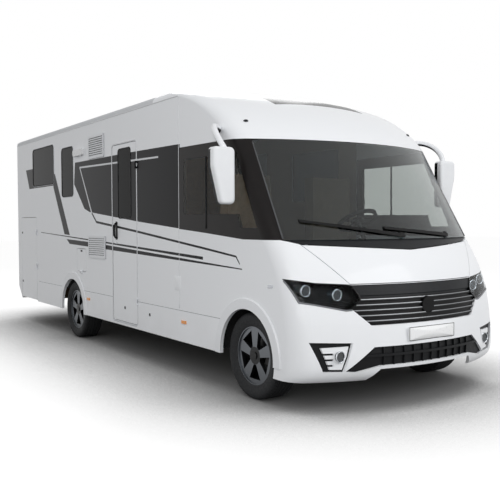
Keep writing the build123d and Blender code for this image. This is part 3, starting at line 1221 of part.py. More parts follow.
def cab_fittings():
    """Dashboard, two seats and the steering wheel."""
    front = NOSE_X - DASH_FRONT_BACK
    rear = front - DASH_DEPTH
    outline = [(front - DASH_DEPTH * (1 - along), DASH_BASE_Z + DASH_HEIGHT * up)
               for along, up in DASH_SHARES]
    dash = side_prism(outline, -DASH_HALF_W, DASH_HALF_W)
    seats = []
    x = NOSE_X - SEAT_BACK
    for y in (-SEAT_HALF_GAP, SEAT_HALF_GAP):
        low_y = y - SEAT_WIDTH / 2
        high_y = y + SEAT_WIDTH / 2
        plinth = block(x + SEAT_BACK_T, x + SEAT_BACK_T + PLINTH, y - PLINTH / 2, y + PLINTH / 2,
                       FLOOR_TOP_Z, SEAT_BASE_Z)
        base = block(x, x + SEAT_DEPTH, low_y, high_y, SEAT_BASE_Z, SEAT_BASE_Z + SEAT_T)
        back = block(x - SEAT_BACK_T / 2, x + SEAT_BACK_T / 2, low_y, high_y, SEAT_BASE_Z + SEAT_T,
                     SEAT_BASE_Z + SEAT_T + SEAT_BACK_H)
        seats.append(fused([plinth, base, back]))
    centre = Vector(NOSE_X - STEERING_X_BACK, STEERING_Y, STEERING_Z)
    lean = Vector(-sin(radians(STEERING_TILT)), 0, cos(radians(STEERING_TILT)))
    plane = Plane(origin=centre, z_dir=lean, x_dir=(0, 1, 0))
    ring = plane.location * (Cylinder(STEERING_R + STEERING_TUBE_R, STEERING_TUBE_R * 2)
                             - Cylinder(STEERING_R - STEERING_TUBE_R, STEERING_TUBE_R * 2))
    boss_foot = centre - lean * (STEERING_TUBE_R * 2)
    boss = rod(boss_foot, centre + lean * STEERING_TUBE_R, STEERING_R / 3)
    arms = []
    for turn in STEERING_ARM_TURNS:
        bar = Box(STEERING_R, STEERING_TUBE_R * 2, STEERING_TUBE_R)
        arms.append(plane.location * Rot(0, 0, turn) * Pos(STEERING_R / 2, 0, 0) * bar)
    wheel = fused([boss, ring] + arms)
    foot = centre - lean * (STEERING_TUBE_R * 2 + SEAT_GAP)
    column = rod(foot - lean * COLUMN_LENGTH, foot, COLUMN_R)
    return {"dashboard": fused([dash, column]), "cab_seats": seats, "steering_wheel": wheel}


# Living fittings. Columns: rear end's distance from the rear, length, one and the other distance
# from the middle, base height, height
FITTINGS = [(2600.0, 40.0, 400.0, INNER_W, FLOOR_TOP_Z, 2000.0),
            (2700.0, 1150.0, 550.0, INNER_W, FLOOR_TOP_Z, 900.0),
            (4100.0, 450.0, 300.0, INNER_W, FLOOR_TOP_Z, 480.0),
            (5000.0, 420.0, 300.0, INNER_W, FLOOR_TOP_Z, 480.0)]
# Columns: rear end's distance from the rear, length, base height, height
BED = (110.0, 1420.0, 1620.0, 200.0)
MIRROR_OUT = 80.0
MIRROR_HEAD = (210.0, 470.0, 90.0)
MIRROR_ROOT_BACK = 1420.0
MIRROR_ROOT_Z = 2280.0
MIRROR_HEAD_BACK = 1060.0
MIRROR_HEAD_Z = 1870.0
MIRROR_ARM_R = 26.0
MIRROR_ELBOW_ALONG = 100.0
MIRROR_ELBOW_OUT = 95.0
MIRROR_RIM = 32.0
MIRROR_GLASS_T = 4.0
MIRROR_CORNER = 42.0
MIRROR_EASE = 24.0
MIRROR_TAPER_SHARES = (0.35, 0.36)


def living_fittings():
    """Bed, washroom wall, kitchen and seats, as plain blocks behind the windows."""
    blocks = []
    for back, length, y0, y1, low, height in FITTINGS:
        rear = REAR_X + back
        housing = mirrored(arch_cut(REAR_AXLE_X, ARCH_R + LINER_T + SEAT_GAP,
                                    REAR_HOUSE_DEPTH + SEAT_GAP))
        blocks.append(less(block(rear, rear + length, y0, y1, low, low + height), housing))
    back, length, low, height = BED
    rear = REAR_X + back
    blocks.append(block(rear, rear + length, -INNER_W, INNER_W, low, low + height))
    return {"furniture": blocks}


def mirrors():
    """A mirror each side: a bent arm from the roof's edge and a tall head that narrows downwards."""
    width, height, depth = MIRROR_HEAD
    inner = HALF_W + MIRROR_OUT
    x = NOSE_X - MIRROR_HEAD_BACK
    low = MIRROR_HEAD_Z - height / 2
    top = MIRROR_HEAD_Z + height / 2
    outline = [(-inner, low), (-inner, top), (-inner - width, top),
               (-inner - width, top - height * MIRROR_TAPER_SHARES[0]),
               (-inner - width * (1 - MIRROR_TAPER_SHARES[1]), low)]
    head = rounded_front_prism(outline, MIRROR_CORNER, x - depth / 2, x + depth / 2)
    front_edges = head.edges().group_by(Axis.X)[-1]
    head = head.fillet(MIRROR_EASE, front_edges)
    root = (NOSE_X - MIRROR_ROOT_BACK, -HALF_W + MIRROR_ARM_R, MIRROR_ROOT_Z)
    elbow = (root[0] + MIRROR_ELBOW_ALONG, -HALF_W - MIRROR_ELBOW_OUT, MIRROR_ROOT_Z + MIRROR_ARM_R)
    foot = (x, -inner - width / 3, top - MIRROR_ARM_R)
    bend = Edge.make_three_point_arc(root, elbow, foot)
    section = Plane(origin=bend @ 0, z_dir=bend % 0) * Circle(MIRROR_ARM_R)
    arm = sweep(section, path=bend)
    arm = less(arm, block(JOINT_X, NOSE_X, -HALF_W, 0, SCREEN_TOP_Z - FRONT_CORNER, ROOF_Z))
    pane = [(-inner - MIRROR_RIM, low + MIRROR_RIM), (-inner - MIRROR_RIM, top - MIRROR_RIM),
            (-inner - width + MIRROR_RIM, top - MIRROR_RIM),
            (-inner - width * (1 - MIRROR_TAPER_SHARES[1]) + MIRROR_RIM / 2, low + MIRROR_RIM)]
    glass = rounded_front_prism(pane, MIRROR_CORNER / 2, x - depth / 2 - MIRROR_GLASS_T,
                                x - depth / 2)
    return {"mirrors": both_sides(fused([head, arm])), "mirror_glass": both_sides(glass)}


# Wipers lie on the screen. Columns: share of the half width and of the screen's height at the
# pivot, the same two at the tip
WIPER_SHARES = [(-0.016, 0.012, -0.79, 0.180), (0.526, 0.012, -0.163, 0.110)]
WIPER_H = 20.0
WIPER_T = 16.0
PIVOT_R = 24.0


def wipers():
    """Two wipers parked across the foot of the windscreen, each a bar with a round pivot."""
    sections = screen_sections()
    layer = less(front_solid(sections, -WIPER_T, JOINT_X, ruled=True),
                 front_solid(sections, -SEAT_GAP, JOINT_X - OVERRUN, ruled=True))
    arms = []
    for out0, up0, out1, up1 in WIPER_SHARES:
        y0, z0 = HALF_W * out0, BELT_Z + (SCREEN_TOP_Z - BELT_Z) * up0 + PIVOT_R
        y1, z1 = HALF_W * out1, BELT_Z + (SCREEN_TOP_Z - BELT_Z) * up1
        bar = nose_tool([(y0, z0 - WIPER_H), (y0, z0 + WIPER_H / 2), (y1, z1 + WIPER_H / 2),
                         (y1, z1 - WIPER_H / 2)])
        pivot = rod((JOINT_X, y0, z0), (NOSE_X, y0, z0), PIVOT_R)
        arms.append(common(layer, fused([bar, pivot])))
    return {"wipers": arms}


# Lamps. Tail lamp: distance from the middle to its inner edge, width, base height, height
TAIL_LAMP = (930.0, 120.0, 760.0, 380.0)
TAIL_LAMP_T = 14.0
TAIL_CORNER = 25.0
# Side markers. Columns: distance from the rear, height
MARKERS = [(3069.0, 548.0), (5551.0, 533.0)]
MARKER_LENGTH = 90.0
MARKER_H = 30.0
MARKER_T = 8.0
# Lamp over the doorway: rear end's distance from the rear, length, base height, height, depth
OUTSIDE_LAMP = (2650.0, 310.0, 2340.0, 80.0, 34.0)


def lamps():
    """Side markers on the skirts and the outside lamp high on the right wall."""
    found = []
    for back, z in MARKERS:
        x = REAR_X + back
        found += both_sides(block(x - MARKER_LENGTH / 2, x + MARKER_LENGTH / 2,
                                  -HALF_W - MARKER_T, -HALF_W, z - MARKER_H / 2,
                                  z + MARKER_H / 2))
    back, length, low, height, depth = OUTSIDE_LAMP
    rear = REAR_X + back
    lamp = rounded_block(rear, rear + length, -HALF_W - depth, -HALF_W, low, low + height,
                         height / 4)
    return {"marker_lamps": found, "outside_lamp": lamp}


def main():
    """Builds every node and writes one file for each."""
    nodes = {}
    for section in (living_body, rear_body, skirts, nose, screen, roof_front, wheels, running_gear,
                    wheel_housings, floor, underbody, cab_fittings, living_fittings, mirrors,
                    wipers, lamps):
        nodes.update(section())
    right = knuckle()
    nodes["knuckle_right"] = right
    nodes["knuckle_left"] = mirrored(right)
    os.makedirs("parts", exist_ok=True)
    for name, shape in nodes.items():
        export_step(Compound(solids_of(shape)), f"parts/{name}.step")


main()
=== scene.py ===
import math

import bmesh
import bpy
import numpy as np
from mathutils import Matrix, Vector


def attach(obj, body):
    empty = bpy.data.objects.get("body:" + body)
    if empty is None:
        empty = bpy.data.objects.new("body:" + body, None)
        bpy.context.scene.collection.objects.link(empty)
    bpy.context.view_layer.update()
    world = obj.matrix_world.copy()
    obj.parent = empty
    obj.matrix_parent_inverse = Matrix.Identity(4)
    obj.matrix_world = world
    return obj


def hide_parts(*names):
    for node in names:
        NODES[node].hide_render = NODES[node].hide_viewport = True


# The motorhome's finishes, and the thin pieces that its solids leave to the surface: tyre tread,
# seals, frames and strips, lamp rings, handle, locks, caps and the blank plate.
# Lengths are in millimetres, and MM takes them to the metres of the scene. The stage at the end
# is given in metres.

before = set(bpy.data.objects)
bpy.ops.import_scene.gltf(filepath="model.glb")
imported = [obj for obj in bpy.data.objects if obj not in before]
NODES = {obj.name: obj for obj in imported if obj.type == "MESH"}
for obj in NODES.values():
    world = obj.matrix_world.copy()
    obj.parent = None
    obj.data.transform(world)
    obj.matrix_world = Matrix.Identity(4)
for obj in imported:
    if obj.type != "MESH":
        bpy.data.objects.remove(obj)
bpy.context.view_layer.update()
MM = 0.001
SIDES = (("right", -1), ("left", 1))
# Half the body's width, the distance of the rear end from the origin, and the wheels' axles
HALF_W = 1155.0
REAR_END = 3810.0
FRONT_AXLE, REAR_AXLE, AXLE_Z = 2820.0, -1290.0, 365.0


# Nodes and patterns

def linear(hex_colour):
    """An sRGB hex colour as linear red, green and blue with an alpha of one."""
    shares = np.array([int(hex_colour[i:i + 2], 16) for i in (1, 3, 5)]) / 255
    values = np.where(shares <= 0.04045, shares / 12.92, ((shares + 0.055) / 1.055) ** 2.4)
    return (*values.tolist(), 1.0)


def add(tree, kind, settings):
    """Adds one shader node and gives its outputs.

    A setting is one of the node's own values, or the value of a socket by its name or number.
    Where it is another node's output, it is linked to that socket."""
    node = tree.nodes.new("ShaderNode" + kind)
    for name, value in settings.items():
        if isinstance(value, bpy.types.NodeSocket):
            tree.links.new(value, node.inputs[name])
        elif isinstance(name, str) and hasattr(node, name):
            setattr(node, name, value)
        else:
            node.inputs[name].default_value = value
    return node.outputs


def start(name):
    """An empty node material, its tree, and the place in metres and the normal on the piece.

    Both are in the piece's own frame, so they turn with a door or a wheel."""
    material = bpy.data.materials.new(name)
    material.use_nodes = True
    tree = material.node_tree
    tree.nodes.clear()
    own = add(tree, "TexCoord", {})
    return material, tree, own["Object"], own["Normal"]


def joined(tree, operation, masks):
    """Masks joined into one: MULTIPLY is one where all of them are, MAXIMUM where any is."""
    result = masks[0]
    for mask in masks[1:]:
        result = add(tree, "Math", {"operation": operation, 0: result, 1: mask})[0]
    return result


def layered(tree, base, layers):
    """Colours laid over a base: each layer is a mask and the colour that it shows there.

    A colour is a hex value or another node's output. A Mix node takes colours at its sockets
    6 and 7 and gives one at its output 2."""
    for mask, cover in layers:
        below, above = [linear(c) if isinstance(c, str) else c for c in (base, cover)]
        base = add(tree, "Mix", {"data_type": "RGBA", 0: mask, 6: below, 7: above})[2]
    return base


def blotches(tree, place, period, detail, low, high, low_out=0.0, high_out=1.0):
    """Soft blotches about one period across: noise, moved from low and high to the outer values."""
    clouds = add(tree, "TexNoise", {"Scale": 1 / (period * MM), "Detail": detail, "Vector": place})[0]
    return add(tree, "MapRange", {"Value": clouds, "From Min": low, "From Max": high,
                                  "To Min": low_out, "To Max": high_out})[0]


def drift(tree, place, period, first, second, detail=3.0, share=1.0):
    """A colour that drifts from one towards another over a period, by a share of the noise."""
    clouds = add(tree, "TexNoise", {"Scale": 1 / (period * MM), "Detail": detail, "Vector": place})[0]
    return layered(tree, first, [(joined(tree, "MULTIPLY", [clouds, share]), second)])


def grained(tree, place, size, depth, strength, detail=2.0):
    """The normal of a grained surface: noise of a grain size, bumped by a real depth."""
    grain = add(tree, "TexNoise", {"Scale": 1 / (size * MM), "Detail": detail, "Vector": place})[0]
    return add(tree, "Bump", {"Strength": strength, "Distance": depth * MM, "Height": grain})[0]


def inside(tree, place, outline):
    """One inside a convex outline of (x, z) points, counter-clockwise seen from the right side.

    Each edge is a half-plane: there the dot product of the place with the edge's inward normal is
    over the edge's own value. The outline is where all of them hold."""
    halves = []
    for (x0, z0), (x1, z1) in zip(outline, outline[1:] + outline[:1]):
        size = math.hypot(x1 - x0, z1 - z0)
        normal = ((z0 - z1) / size, 0.0, (x1 - x0) / size)
        limit = (normal[0] * x0 + normal[2] * z0) * MM
        dot = add(tree, "VectorMath", {"operation": "DOT_PRODUCT", 0: place, 1: normal})["Value"]
        halves.append(add(tree, "Math", {"operation": "GREATER_THAN", 0: dot, 1: limit})[0])
    return joined(tree, "MULTIPLY", halves)


def line_outlines(points, widths):
    """Four-cornered outlines along a line of (x, z) points with a width at each point.

    Each corner stands half a width to the side, and 0.3 widths past its end, so that neighbours
    overlap."""
    outlines = []
    for (x0, z0), (x1, z1), w0, w1 in zip(points, points[1:], widths, widths[1:]):
        size = math.hypot(x1 - x0, z1 - z0)
        along = ((x1 - x0) / size, (z1 - z0) / size)
        across = (-along[1], along[0])
        corners = ((x0, z0, w0, -1, -1), (x1, z1, w1, -1, 1), (x1, z1, w1, 1, 1), (x0, z0, w0, 1, -1))
        outlines.append([(x + width * (0.5 * out * across[0] + 0.3 * ahead * along[0]),
                          z + width * (0.5 * out * across[1] + 0.3 * ahead * along[1]))
                         for x, z, width, out, ahead in corners])
    return outlines


# Decor on the sides, as (x, z) outlines, counter-clockwise seen from the right side
BAND = [(-1203, 1994), (-846, 1669), (-685, 1627), (9, 1564), (720, 1502), (1674, 1429),
        (1674, 2248), (717, 2254), (28, 2264), (-1164, 2274)]
FRAME_FILL = [(1650, 1431), (2165, 1391), (2825, 1343), (3300, 1343), (3300, 2190), (2640, 2196),
              (2377, 2234), (1650, 2249)]
SWEEP = [(-1511, 1280), (-1397, 1219), (2762, 1088), (2762, 1097), (-697, 1257)]
DIAGONAL = [(-2018, 1989), (-1590, 1343), (-1387, 1334), (-1944, 2161), (-2030, 2188)]
CORNER_UPRIGHT = [(-3119, 2009), (-2900, 2009), (-2900, 2300), (-3283, 2300)]
CORNER_FOOT = [(-3119, 2009), (-2031, 2012), (-1949, 2041), (-2000, 2070), (-3125, 2070)]
# Lines of the decor, and thin shut lines between panels: points and the width at each
UPPER_LINE = ([(-607, 1616), (-455, 1502), (6, 1460), (698, 1395), (2187, 1246), (2668, 1196),
               (2725, 1135)], [26, 26, 26, 24, 20, 16, 10])
MIDDLE_LINE = ([(-2588, 1361), (-696, 1283), (2100, 1161)], [8, 16, 28])
PINSTRIPE = ([(-607, 1616), (-995, 2192), (1209, 2152)], [30, 22, 18])
SEAMS = [([(-2720, 640), (-1640, 640)], [5, 5]), ([(-900, 640), (20, 640)], [5, 5]),
         ([(710, 640), (2470, 640)], [5, 5])]
# The sides' outer faces are further out than this
SIDE_Y = 1130.0
# The lining lies behind these limits, on faces turned towards the middle of the living room
LINING_X, LINING_Y = 1660.0, 1123.5
LIVING_MIDDLE = (-1000 * MM, 0.0, 1600 * MM)


def decor_masks(tree, place):
    """Masks on the vehicle's sides: dark decor, light line on it, and panel seams."""
    across = add(tree, "SeparateXYZ", {0: place})["Y"]
    out = add(tree, "Math", {"operation": "ABSOLUTE", 0: across})[0]
    on_side = add(tree, "Math", {"operation": "GREATER_THAN", 0: out, 1: SIDE_Y * MM})[0]
    dark = [BAND, FRAME_FILL, SWEEP, DIAGONAL, CORNER_UPRIGHT, CORNER_FOOT]
    dark += line_outlines(*UPPER_LINE) + line_outlines(*MIDDLE_LINE)
    seams = [outline for seam in SEAMS for outline in line_outlines(*seam)]
    masks = []
    for outlines in (dark, line_outlines(*PINSTRIPE), seams):
        shapes = [inside(tree, place, outline) for outline in outlines]
        masks.append(joined(tree, "MULTIPLY", [joined(tree, "MAXIMUM", shapes), on_side]))
    return masks


# Materials

def coach_paint(name, white="#EEF0F3", decor=True):
    """Two-layer coach enamel: a soft white under clear lacquer, with glossy vinyl decor.

    The eye gets broad clean reflections, the faintest orange peel and a little road film low down.
    The inner faces show the lining of pale laminate."""
    material, tree, place, normal = start(name)
    x, y, z = add(tree, "SeparateXYZ", {0: place})
    low_down = add(tree, "MapRange", {"Value": z, "From Min": 750 * MM, "From Max": 250 * MM})[0]
    film = joined(tree, "MULTIPLY", [low_down, blotches(tree, place, 260, 5.0, 0.35, 0.75), 0.10])
    outwards = add(tree, "VectorMath", {"operation": "SUBTRACT", 0: place, 1: LIVING_MIDDLE})["Vector"]
    away = add(tree, "VectorMath", {"operation": "DOT_PRODUCT", 0: outwards, 1: normal})["Value"]
    out = add(tree, "Math", {"operation": "ABSOLUTE", 0: y})[0]
    lining = joined(tree, "MULTIPLY", [
        add(tree, "Math", {"operation": "LESS_THAN", 0: value, 1: limit})[0]
        for value, limit in ((out, LINING_Y * MM), (x, LINING_X * MM), (away, 0.0))])
    layers = [(film, "#8F8B84")]
    lacquer = 0.25
    if decor:
        dark, light, seams = decor_masks(tree, place)
        layers += [(dark, "#111114"), (light, "#D9DBDE"), (seams, "#8D9094")]
        lacquer = add(tree, "MapRange", {"Value": dark, "To Min": 0.22, "To Max": 0.0})[0]
    layers.append((lining, "#B9AE9C"))
    enamel = add(tree, "BsdfPrincipled", {
        "Base Color": layered(tree, white, layers), "Normal": grained(tree, place, 9, 0.05, 0.25),
        "Roughness": 0.30, "Coat Weight": lacquer, "Coat Roughness": 0.05,
        "Specular IOR Level": 0.08})[0]
    add(tree, "OutputMaterial", {"Surface": enamel})
    return material


def plain(name, first, second, roughness, metallic=0.0, period=60, share=0.5, grain=None,
          specular=0.5):
    """A material of two near colours that drift over a period, with an uneven shine.

    The grain, if any, is its size and its depth."""
    material, tree, place, _ = start(name)
    settings = {"Base Color": drift(tree, place, period, first, second, 4.0, share),
                "Roughness": blotches(tree, place, period / 3, 3.0, 0.3, 0.7, roughness * 0.85,
                                      min(roughness * 1.15, 1.0)),
                "Metallic": metallic, "Specular IOR Level": specular}
    if grain:
        settings["Normal"] = grained(tree, place, *grain, 0.6)
    add(tree, "OutputMaterial", {"Surface": add(tree, "BsdfPrincipled", settings)[0]})
    return material


def clear(name, tint, roughness, ior, weight=1.0):
    """Tinted glass or acrylic: light passes and takes the tint, and the surface mirrors the room
    through a faint film of dust. The weight is the share of light that passes."""
    material, tree, place, _ = start(name)
    glass = add(tree, "BsdfPrincipled", {
        "Base Color": linear(tint), "IOR": ior, "Transmission Weight": weight,
        "Roughness": blotches(tree, place, 180, 5.0, 0.45, 0.8, roughness, roughness * 3)})[0]
    add(tree, "OutputMaterial", {"Surface": glass})
    return material


# The wheels' bright cut: beyond this distance from the vehicle's middle, outside the hub's radius
# and on the rim's lip. A ring wave's period is 314 over its scale, here 3.5: a lathe leaves finer
# rings, which wouldn't show.
CUT_Y, HUB_RADIUS, LIP_RADIUS = 1058.0, 75.0, 234.5
LATHE_SCALE = 90.0


def alloy():
    """Cast aluminium wheel: spoke faces turned bright under lacquer, the rest in black gloss.

    The bright cut shows on the outer plane of the spokes and on the rim's lip, with the rings
    left by the lathe. Both are read from the distance to the nearer axle, the root of the sum of
    the squares along and up, and from the distance to the vehicle's middle."""
    material, tree, place, normal = start("diamond_cut_alloy")
    x, y, z = add(tree, "SeparateXYZ", {0: place})
    halfway = (FRONT_AXLE + REAR_AXLE) / 2 * MM
    near = add(tree, "Math", {"operation": "GREATER_THAN", 0: x, 1: halfway})[0]
    axle = add(tree, "Mix", {"data_type": "FLOAT", 0: near, 2: REAR_AXLE * MM, 3: FRONT_AXLE * MM})[0]
    squares = []
    for value, middle in ((x, axle), (z, AXLE_Z * MM)):
        leg = add(tree, "Math", {"operation": "SUBTRACT", 0: value, 1: middle})[0]
        squares.append(add(tree, "Math", {"operation": "MULTIPLY", 0: leg, 1: leg})[0])
    radius = add(tree, "Math", {"operation": "SQRT", 0: joined(tree, "ADD", squares)})[0]
    sideways = add(tree, "SeparateXYZ", {0: normal})["Y"]
    facing, out = [add(tree, "Math", {"operation": "ABSOLUTE", 0: value})[0] for value in (sideways, y)]
    outer, lip, spoke, flat = [
        add(tree, "Math", {"operation": "GREATER_THAN", 0: value, 1: limit})[0]
        for value, limit in ((out, CUT_Y * MM), (radius, LIP_RADIUS * MM), (radius, HUB_RADIUS * MM),
                             (facing, 0.9))]
    face = joined(tree, "MULTIPLY", [spoke, flat])
    bright = joined(tree, "MULTIPLY", [outer, joined(tree, "MAXIMUM", [lip, face])])
    rings = add(tree, "TexWave", {"wave_type": "RINGS", "rings_direction": "Y", "Scale": LATHE_SCALE,
                                  "Distortion": 0.4, "Vector": place})["Fac"]
    metal = layered(tree, "#6C6F73", [(joined(tree, "MULTIPLY", [rings, 0.25]), "#4A4D50")])
    cut = add(tree, "BsdfPrincipled", {
        "Base Color": layered(tree, "#0E0F10", [(bright, metal)]), "Specular IOR Level": 0.25,
        "Metallic": joined(tree, "MULTIPLY", [bright, 0.9]),
        "Roughness": add(tree, "MapRange", {"Value": bright, "To Min": 0.35, "To Max": 0.36})[0]})[0]
    add(tree, "OutputMaterial", {"Surface": cut})
    return material


# A seat thread, drawn many times as coarse as the real one, so that it shows
THREAD = 6.0


def fabric(name, first, second):
    """Woven upholstery: crossed threads with a soft sheen.

    The weave is the larger of the waves along and across, times the wave upwards. A wave's period
    in metres is 0.314 over its scale and holds two threads, so the scale is one over six threads."""
    material, tree, place, _ = start(name)
    along, across, upwards = [
        add(tree, "TexWave", {"bands_direction": direction, "Scale": 1 / (6 * THREAD * MM),
                              "Distortion": 0.6, "Vector": place})["Fac"] for direction in "XYZ"]
    weave = joined(tree, "MULTIPLY", [joined(tree, "MAXIMUM", [along, across]), upwards])
    cloth = add(tree, "BsdfPrincipled", {
        "Base Color": layered(tree, first, [(blotches(tree, place, 30, 4.0, 0.3, 0.7), second)]),
        "Normal": add(tree, "Bump", {"Strength": 0.5, "Distance": 0.6 * MM, "Height": weave})[0],
        "Roughness": 0.85, "Sheen Weight": 0.25})[0]
    add(tree, "OutputMaterial", {"Surface": cloth})
    return material


def wood(name, first, second):
    """Foil-wrapped plywood: long soft grain along the vehicle under a satin film.

    The place is squeezed along the vehicle to 0.12, which draws the noise out to eight times."""
    material, tree, place, _ = start(name)
    drawn = add(tree, "Mapping", {"Scale": (0.12, 1.0, 1.0), "Vector": place})[0]
    foil = add(tree, "BsdfPrincipled", {
        "Base Color": layered(tree, first, [(blotches(tree, drawn, 26, 7.0, 0.35, 0.65), second)]),
        "Normal": grained(tree, drawn, 26, 0.2, 0.3, 7.0), "Roughness": 0.45})[0]
    add(tree, "OutputMaterial", {"Surface": foil})
    return material


# The grille's bars: how many, the lowest one's middle height, their spacing, and how far over a
# bar's middle the chrome starts
BARS, BAR_LOW, BAR_PITCH, CHROME_OVER = 5, 711.2, 41.3, 2.0
# Under this height the grille's back, closed in behind the bars, is painted near black as painted shade
# for the depth there
BROW_Z = 893.0
# The mirror's head ends here and its arm begins, and its black shell lies behind this place
MIRROR_HEAD_Z, MIRROR_SHELL_X = 2085.0, 2742.0
# The cab frame's side faces are further out than this; body white under the falling belt line
FRAME_Y = 1128.5
BELOW_BELT = [(1600, 1300), (2900, 1300), (2900, 1341), (2165, 1391), (1600, 1435)]


def edged_bar():
    """Grille bar moulded in black ABS with a chrome line along its top edge.

    The height is counted in spacings from half a spacing under the lowest bar, so its fraction is
    a half in the middle of every bar. The line is where it is over that, on the front face."""
    material, tree, place, normal = start("black_abs_with_chrome_edge")
    height = add(tree, "SeparateXYZ", {0: place})["Z"]
    forward = add(tree, "SeparateXYZ", {0: normal})["X"]
    foot = BAR_LOW - BAR_PITCH / 2
    spacings = add(tree, "MapRange", {"Value": height, "From Min": foot * MM, "To Max": float(BARS),
                                      "From Max": (foot + BAR_PITCH * BARS) * MM})[0]
    share = add(tree, "Math", {"operation": "FRACT", 0: spacings})[0]
    edge = joined(tree, "MULTIPLY", [
        add(tree, "Math", {"operation": "GREATER_THAN", 0: value, 1: limit})[0]
        for value, limit in ((share, 0.5 + CHROME_OVER / BAR_PITCH), (forward, 0.6))])
    metal = drift(tree, place, 120, "#8F9194", "#808285")
    bar = add(tree, "BsdfPrincipled", {
        "Base Color": layered(tree, "#0D0E0F", [(edge, metal)]), "Specular IOR Level": 0.15,
        "Metallic": joined(tree, "MULTIPLY", [edge, 0.6]),
        "Roughness": add(tree, "MapRange", {"Value": edge, "To Min": 0.45, "To Max": 0.3})[0]})[0]
    add(tree, "OutputMaterial", {"Surface": bar})
    return material


def grille_moulding():
    """The grille's back in anthracite ABS: a satin brow above, and near-black painted shade behind the
    bars, where the depth lies in shadow.
    """
    material, tree, place, _ = start("anthracite_abs_grille_back")
    height = add(tree, "SeparateXYZ", {0: place})["Z"]
    # Painted shade: under the brow the back turns near black, for the shadowed depth behind the bars.
    behind = add(tree, "Math", {"operation": "LESS_THAN", 0: height, 1: BROW_Z * MM})[0]
    brow = drift(tree, place, 60, "#1A1B1D", "#222427", 4.0)
    back = add(tree, "BsdfPrincipled", {
        "Base Color": layered(tree, brow, [(behind, "#040405")]), "Roughness": 0.42,
        "Normal": grained(tree, place, 3, 0.1, 0.6), "Specular IOR Level": 0.12})[0]
    add(tree, "OutputMaterial", {"Surface": back})
    return material


def mirror_shell():
    """Mirror housing of two ABS mouldings: a body-white cap in front, a black shell behind it and
    under the arm."""
    material, tree, place, normal = start("two_tone_mirror_shell")
    x, _, z = add(tree, "SeparateXYZ", {0: place})
    upwards = add(tree, "SeparateXYZ", {0: normal})["Z"]
    head, behind, under = [
        add(tree, "Math", {"operation": "LESS_THAN", 0: value, 1: limit})[0]
        for value, limit in ((z, MIRROR_HEAD_Z * MM), (x, MIRROR_SHELL_X * MM), (upwards, -0.3))]
    arm = add(tree, "Math", {"operation": "SUBTRACT", 0: 1.0, 1: head})[0]
    pairs = ([head, behind], [arm, under])
    black = joined(tree, "MAXIMUM", [joined(tree, "MULTIPLY", pair) for pair in pairs])
    white = drift(tree, place, 60, "#EEF0F3", "#E8EAED")
    shell = add(tree, "BsdfPrincipled", {
        "Base Color": layered(tree, white, [(black, "#101113")]), "Roughness": 0.3,
        "Normal": grained(tree, place, 5, 0.05, 0.3), "Specular IOR Level": 0.16})[0]
    add(tree, "OutputMaterial", {"Surface": shell})
    return material


def slatted_moulding():
    """Vent in white ABS: the slats' undersides and roots, where little open air reaches them, are
    painted grey as painted shade.
    """
    material, tree, place, _ = start("slatted_abs_vent")
    # Painted shade: an occlusion mask lays a drifting grey where the slats close off the open air.
    open_air = add(tree, "AmbientOcclusion", {"Distance": 30 * MM, "samples": 6})["AO"]
    unshaded_share = add(tree, "MapRange", {"Value": open_air, "From Min": 0.35, "From Max": 0.85})[0]
    painted_recess_shade = drift(tree, place, 40, "#7B7D80", "#6C6E70")
    slats = add(tree, "BsdfPrincipled", {
        "Base Color": layered(tree, painted_recess_shade, [(unshaded_share, "#E9EBEE")]), "Roughness": 0.4,
        "Specular IOR Level": 0.1})[0]
    add(tree, "OutputMaterial", {"Surface": slats})
    return material


def surround_paint():
    """The frame round the cab glass: black gloss, with body white below the falling belt line."""
    material, tree, place, _ = start("cab_frame_enamel")
    across = add(tree, "SeparateXYZ", {0: place})["Y"]
    out = add(tree, "Math", {"operation": "ABSOLUTE", 0: across})[0]
    on_side = add(tree, "Math", {"operation": "GREATER_THAN", 0: out, 1: FRAME_Y * MM})[0]
    white = joined(tree, "MULTIPLY", [inside(tree, place, BELOW_BELT), on_side])
    black = drift(tree, place, 70, "#171516", "#1E1B1A")
    gloss = add(tree, "BsdfPrincipled", {
        "Base Color": layered(tree, black, [(white, "#EEF0F3")]), "Roughness": 0.30,
        "Coat Weight": 0.03, "Coat Roughness": 0.05, "Specular IOR Level": 0.1})[0]
    add(tree, "OutputMaterial", {"Surface": gloss})
    return material


# Sprayed panels: the sides carry the decor, the nose is bare, and ABS mouldings are a shade greyer
paint = coach_paint("coach_enamel_with_decor")
paint_plain = coach_paint("coach_enamel", decor=False)
moulding = coach_paint("gloss_abs_moulding", white="#E9EBEE", decor=False)
# Gel coat laid up in a mould: a weathered white without highlights
roof_skin = plain("gel_coated_glass_fibre", "#D3D5D8", "#CACCCF", 0.6, period=300, grain=(6, 0.1),
                  specular=0.15)
# Vacuum-formed acrylic over a dark well: smooth, with a soft shine
dome_black = plain("dark_acrylic_dome", "#16181A", "#1B1D1F", 0.25, specular=0.15)
# Injection-moulded ABS. An eroded mould gives a dull black grain, a polished one a deep sharp black,
# and a fine one satin anthracite.
abs_black = plain("grained_black_abs", "#0D0E10", "#17181A", 0.5, grain=(4, 0.2), specular=0.15)
gloss_black = plain("piano_black_abs", "#060708", "#0A0B0C", 0.12, specular=0.2)
satin_dark = plain("anthracite_abs", "#1A1B1D", "#222427", 0.38, grain=(3, 0.1), specular=0.15)
# Extruded EPDM rubber: matt and nearly black. The ribbed strip on the pillars has greyed.
seal_rubber = plain("epdm_seal", "#121213", "#1A1A1B", 0.62, grain=(3, 0.15), specular=0.15)
pillar_rubber = plain("ribbed_epdm_strip", "#4B4C4E", "#5A5B5D", 0.5, grain=(3, 0.15), specular=0.3)
# Painted ABS: a satin grey line under the lamp
lamp_grey = plain("satin_grey_abs_edge", "#77797D", "#6B6D71", 0.4, specular=0.25)
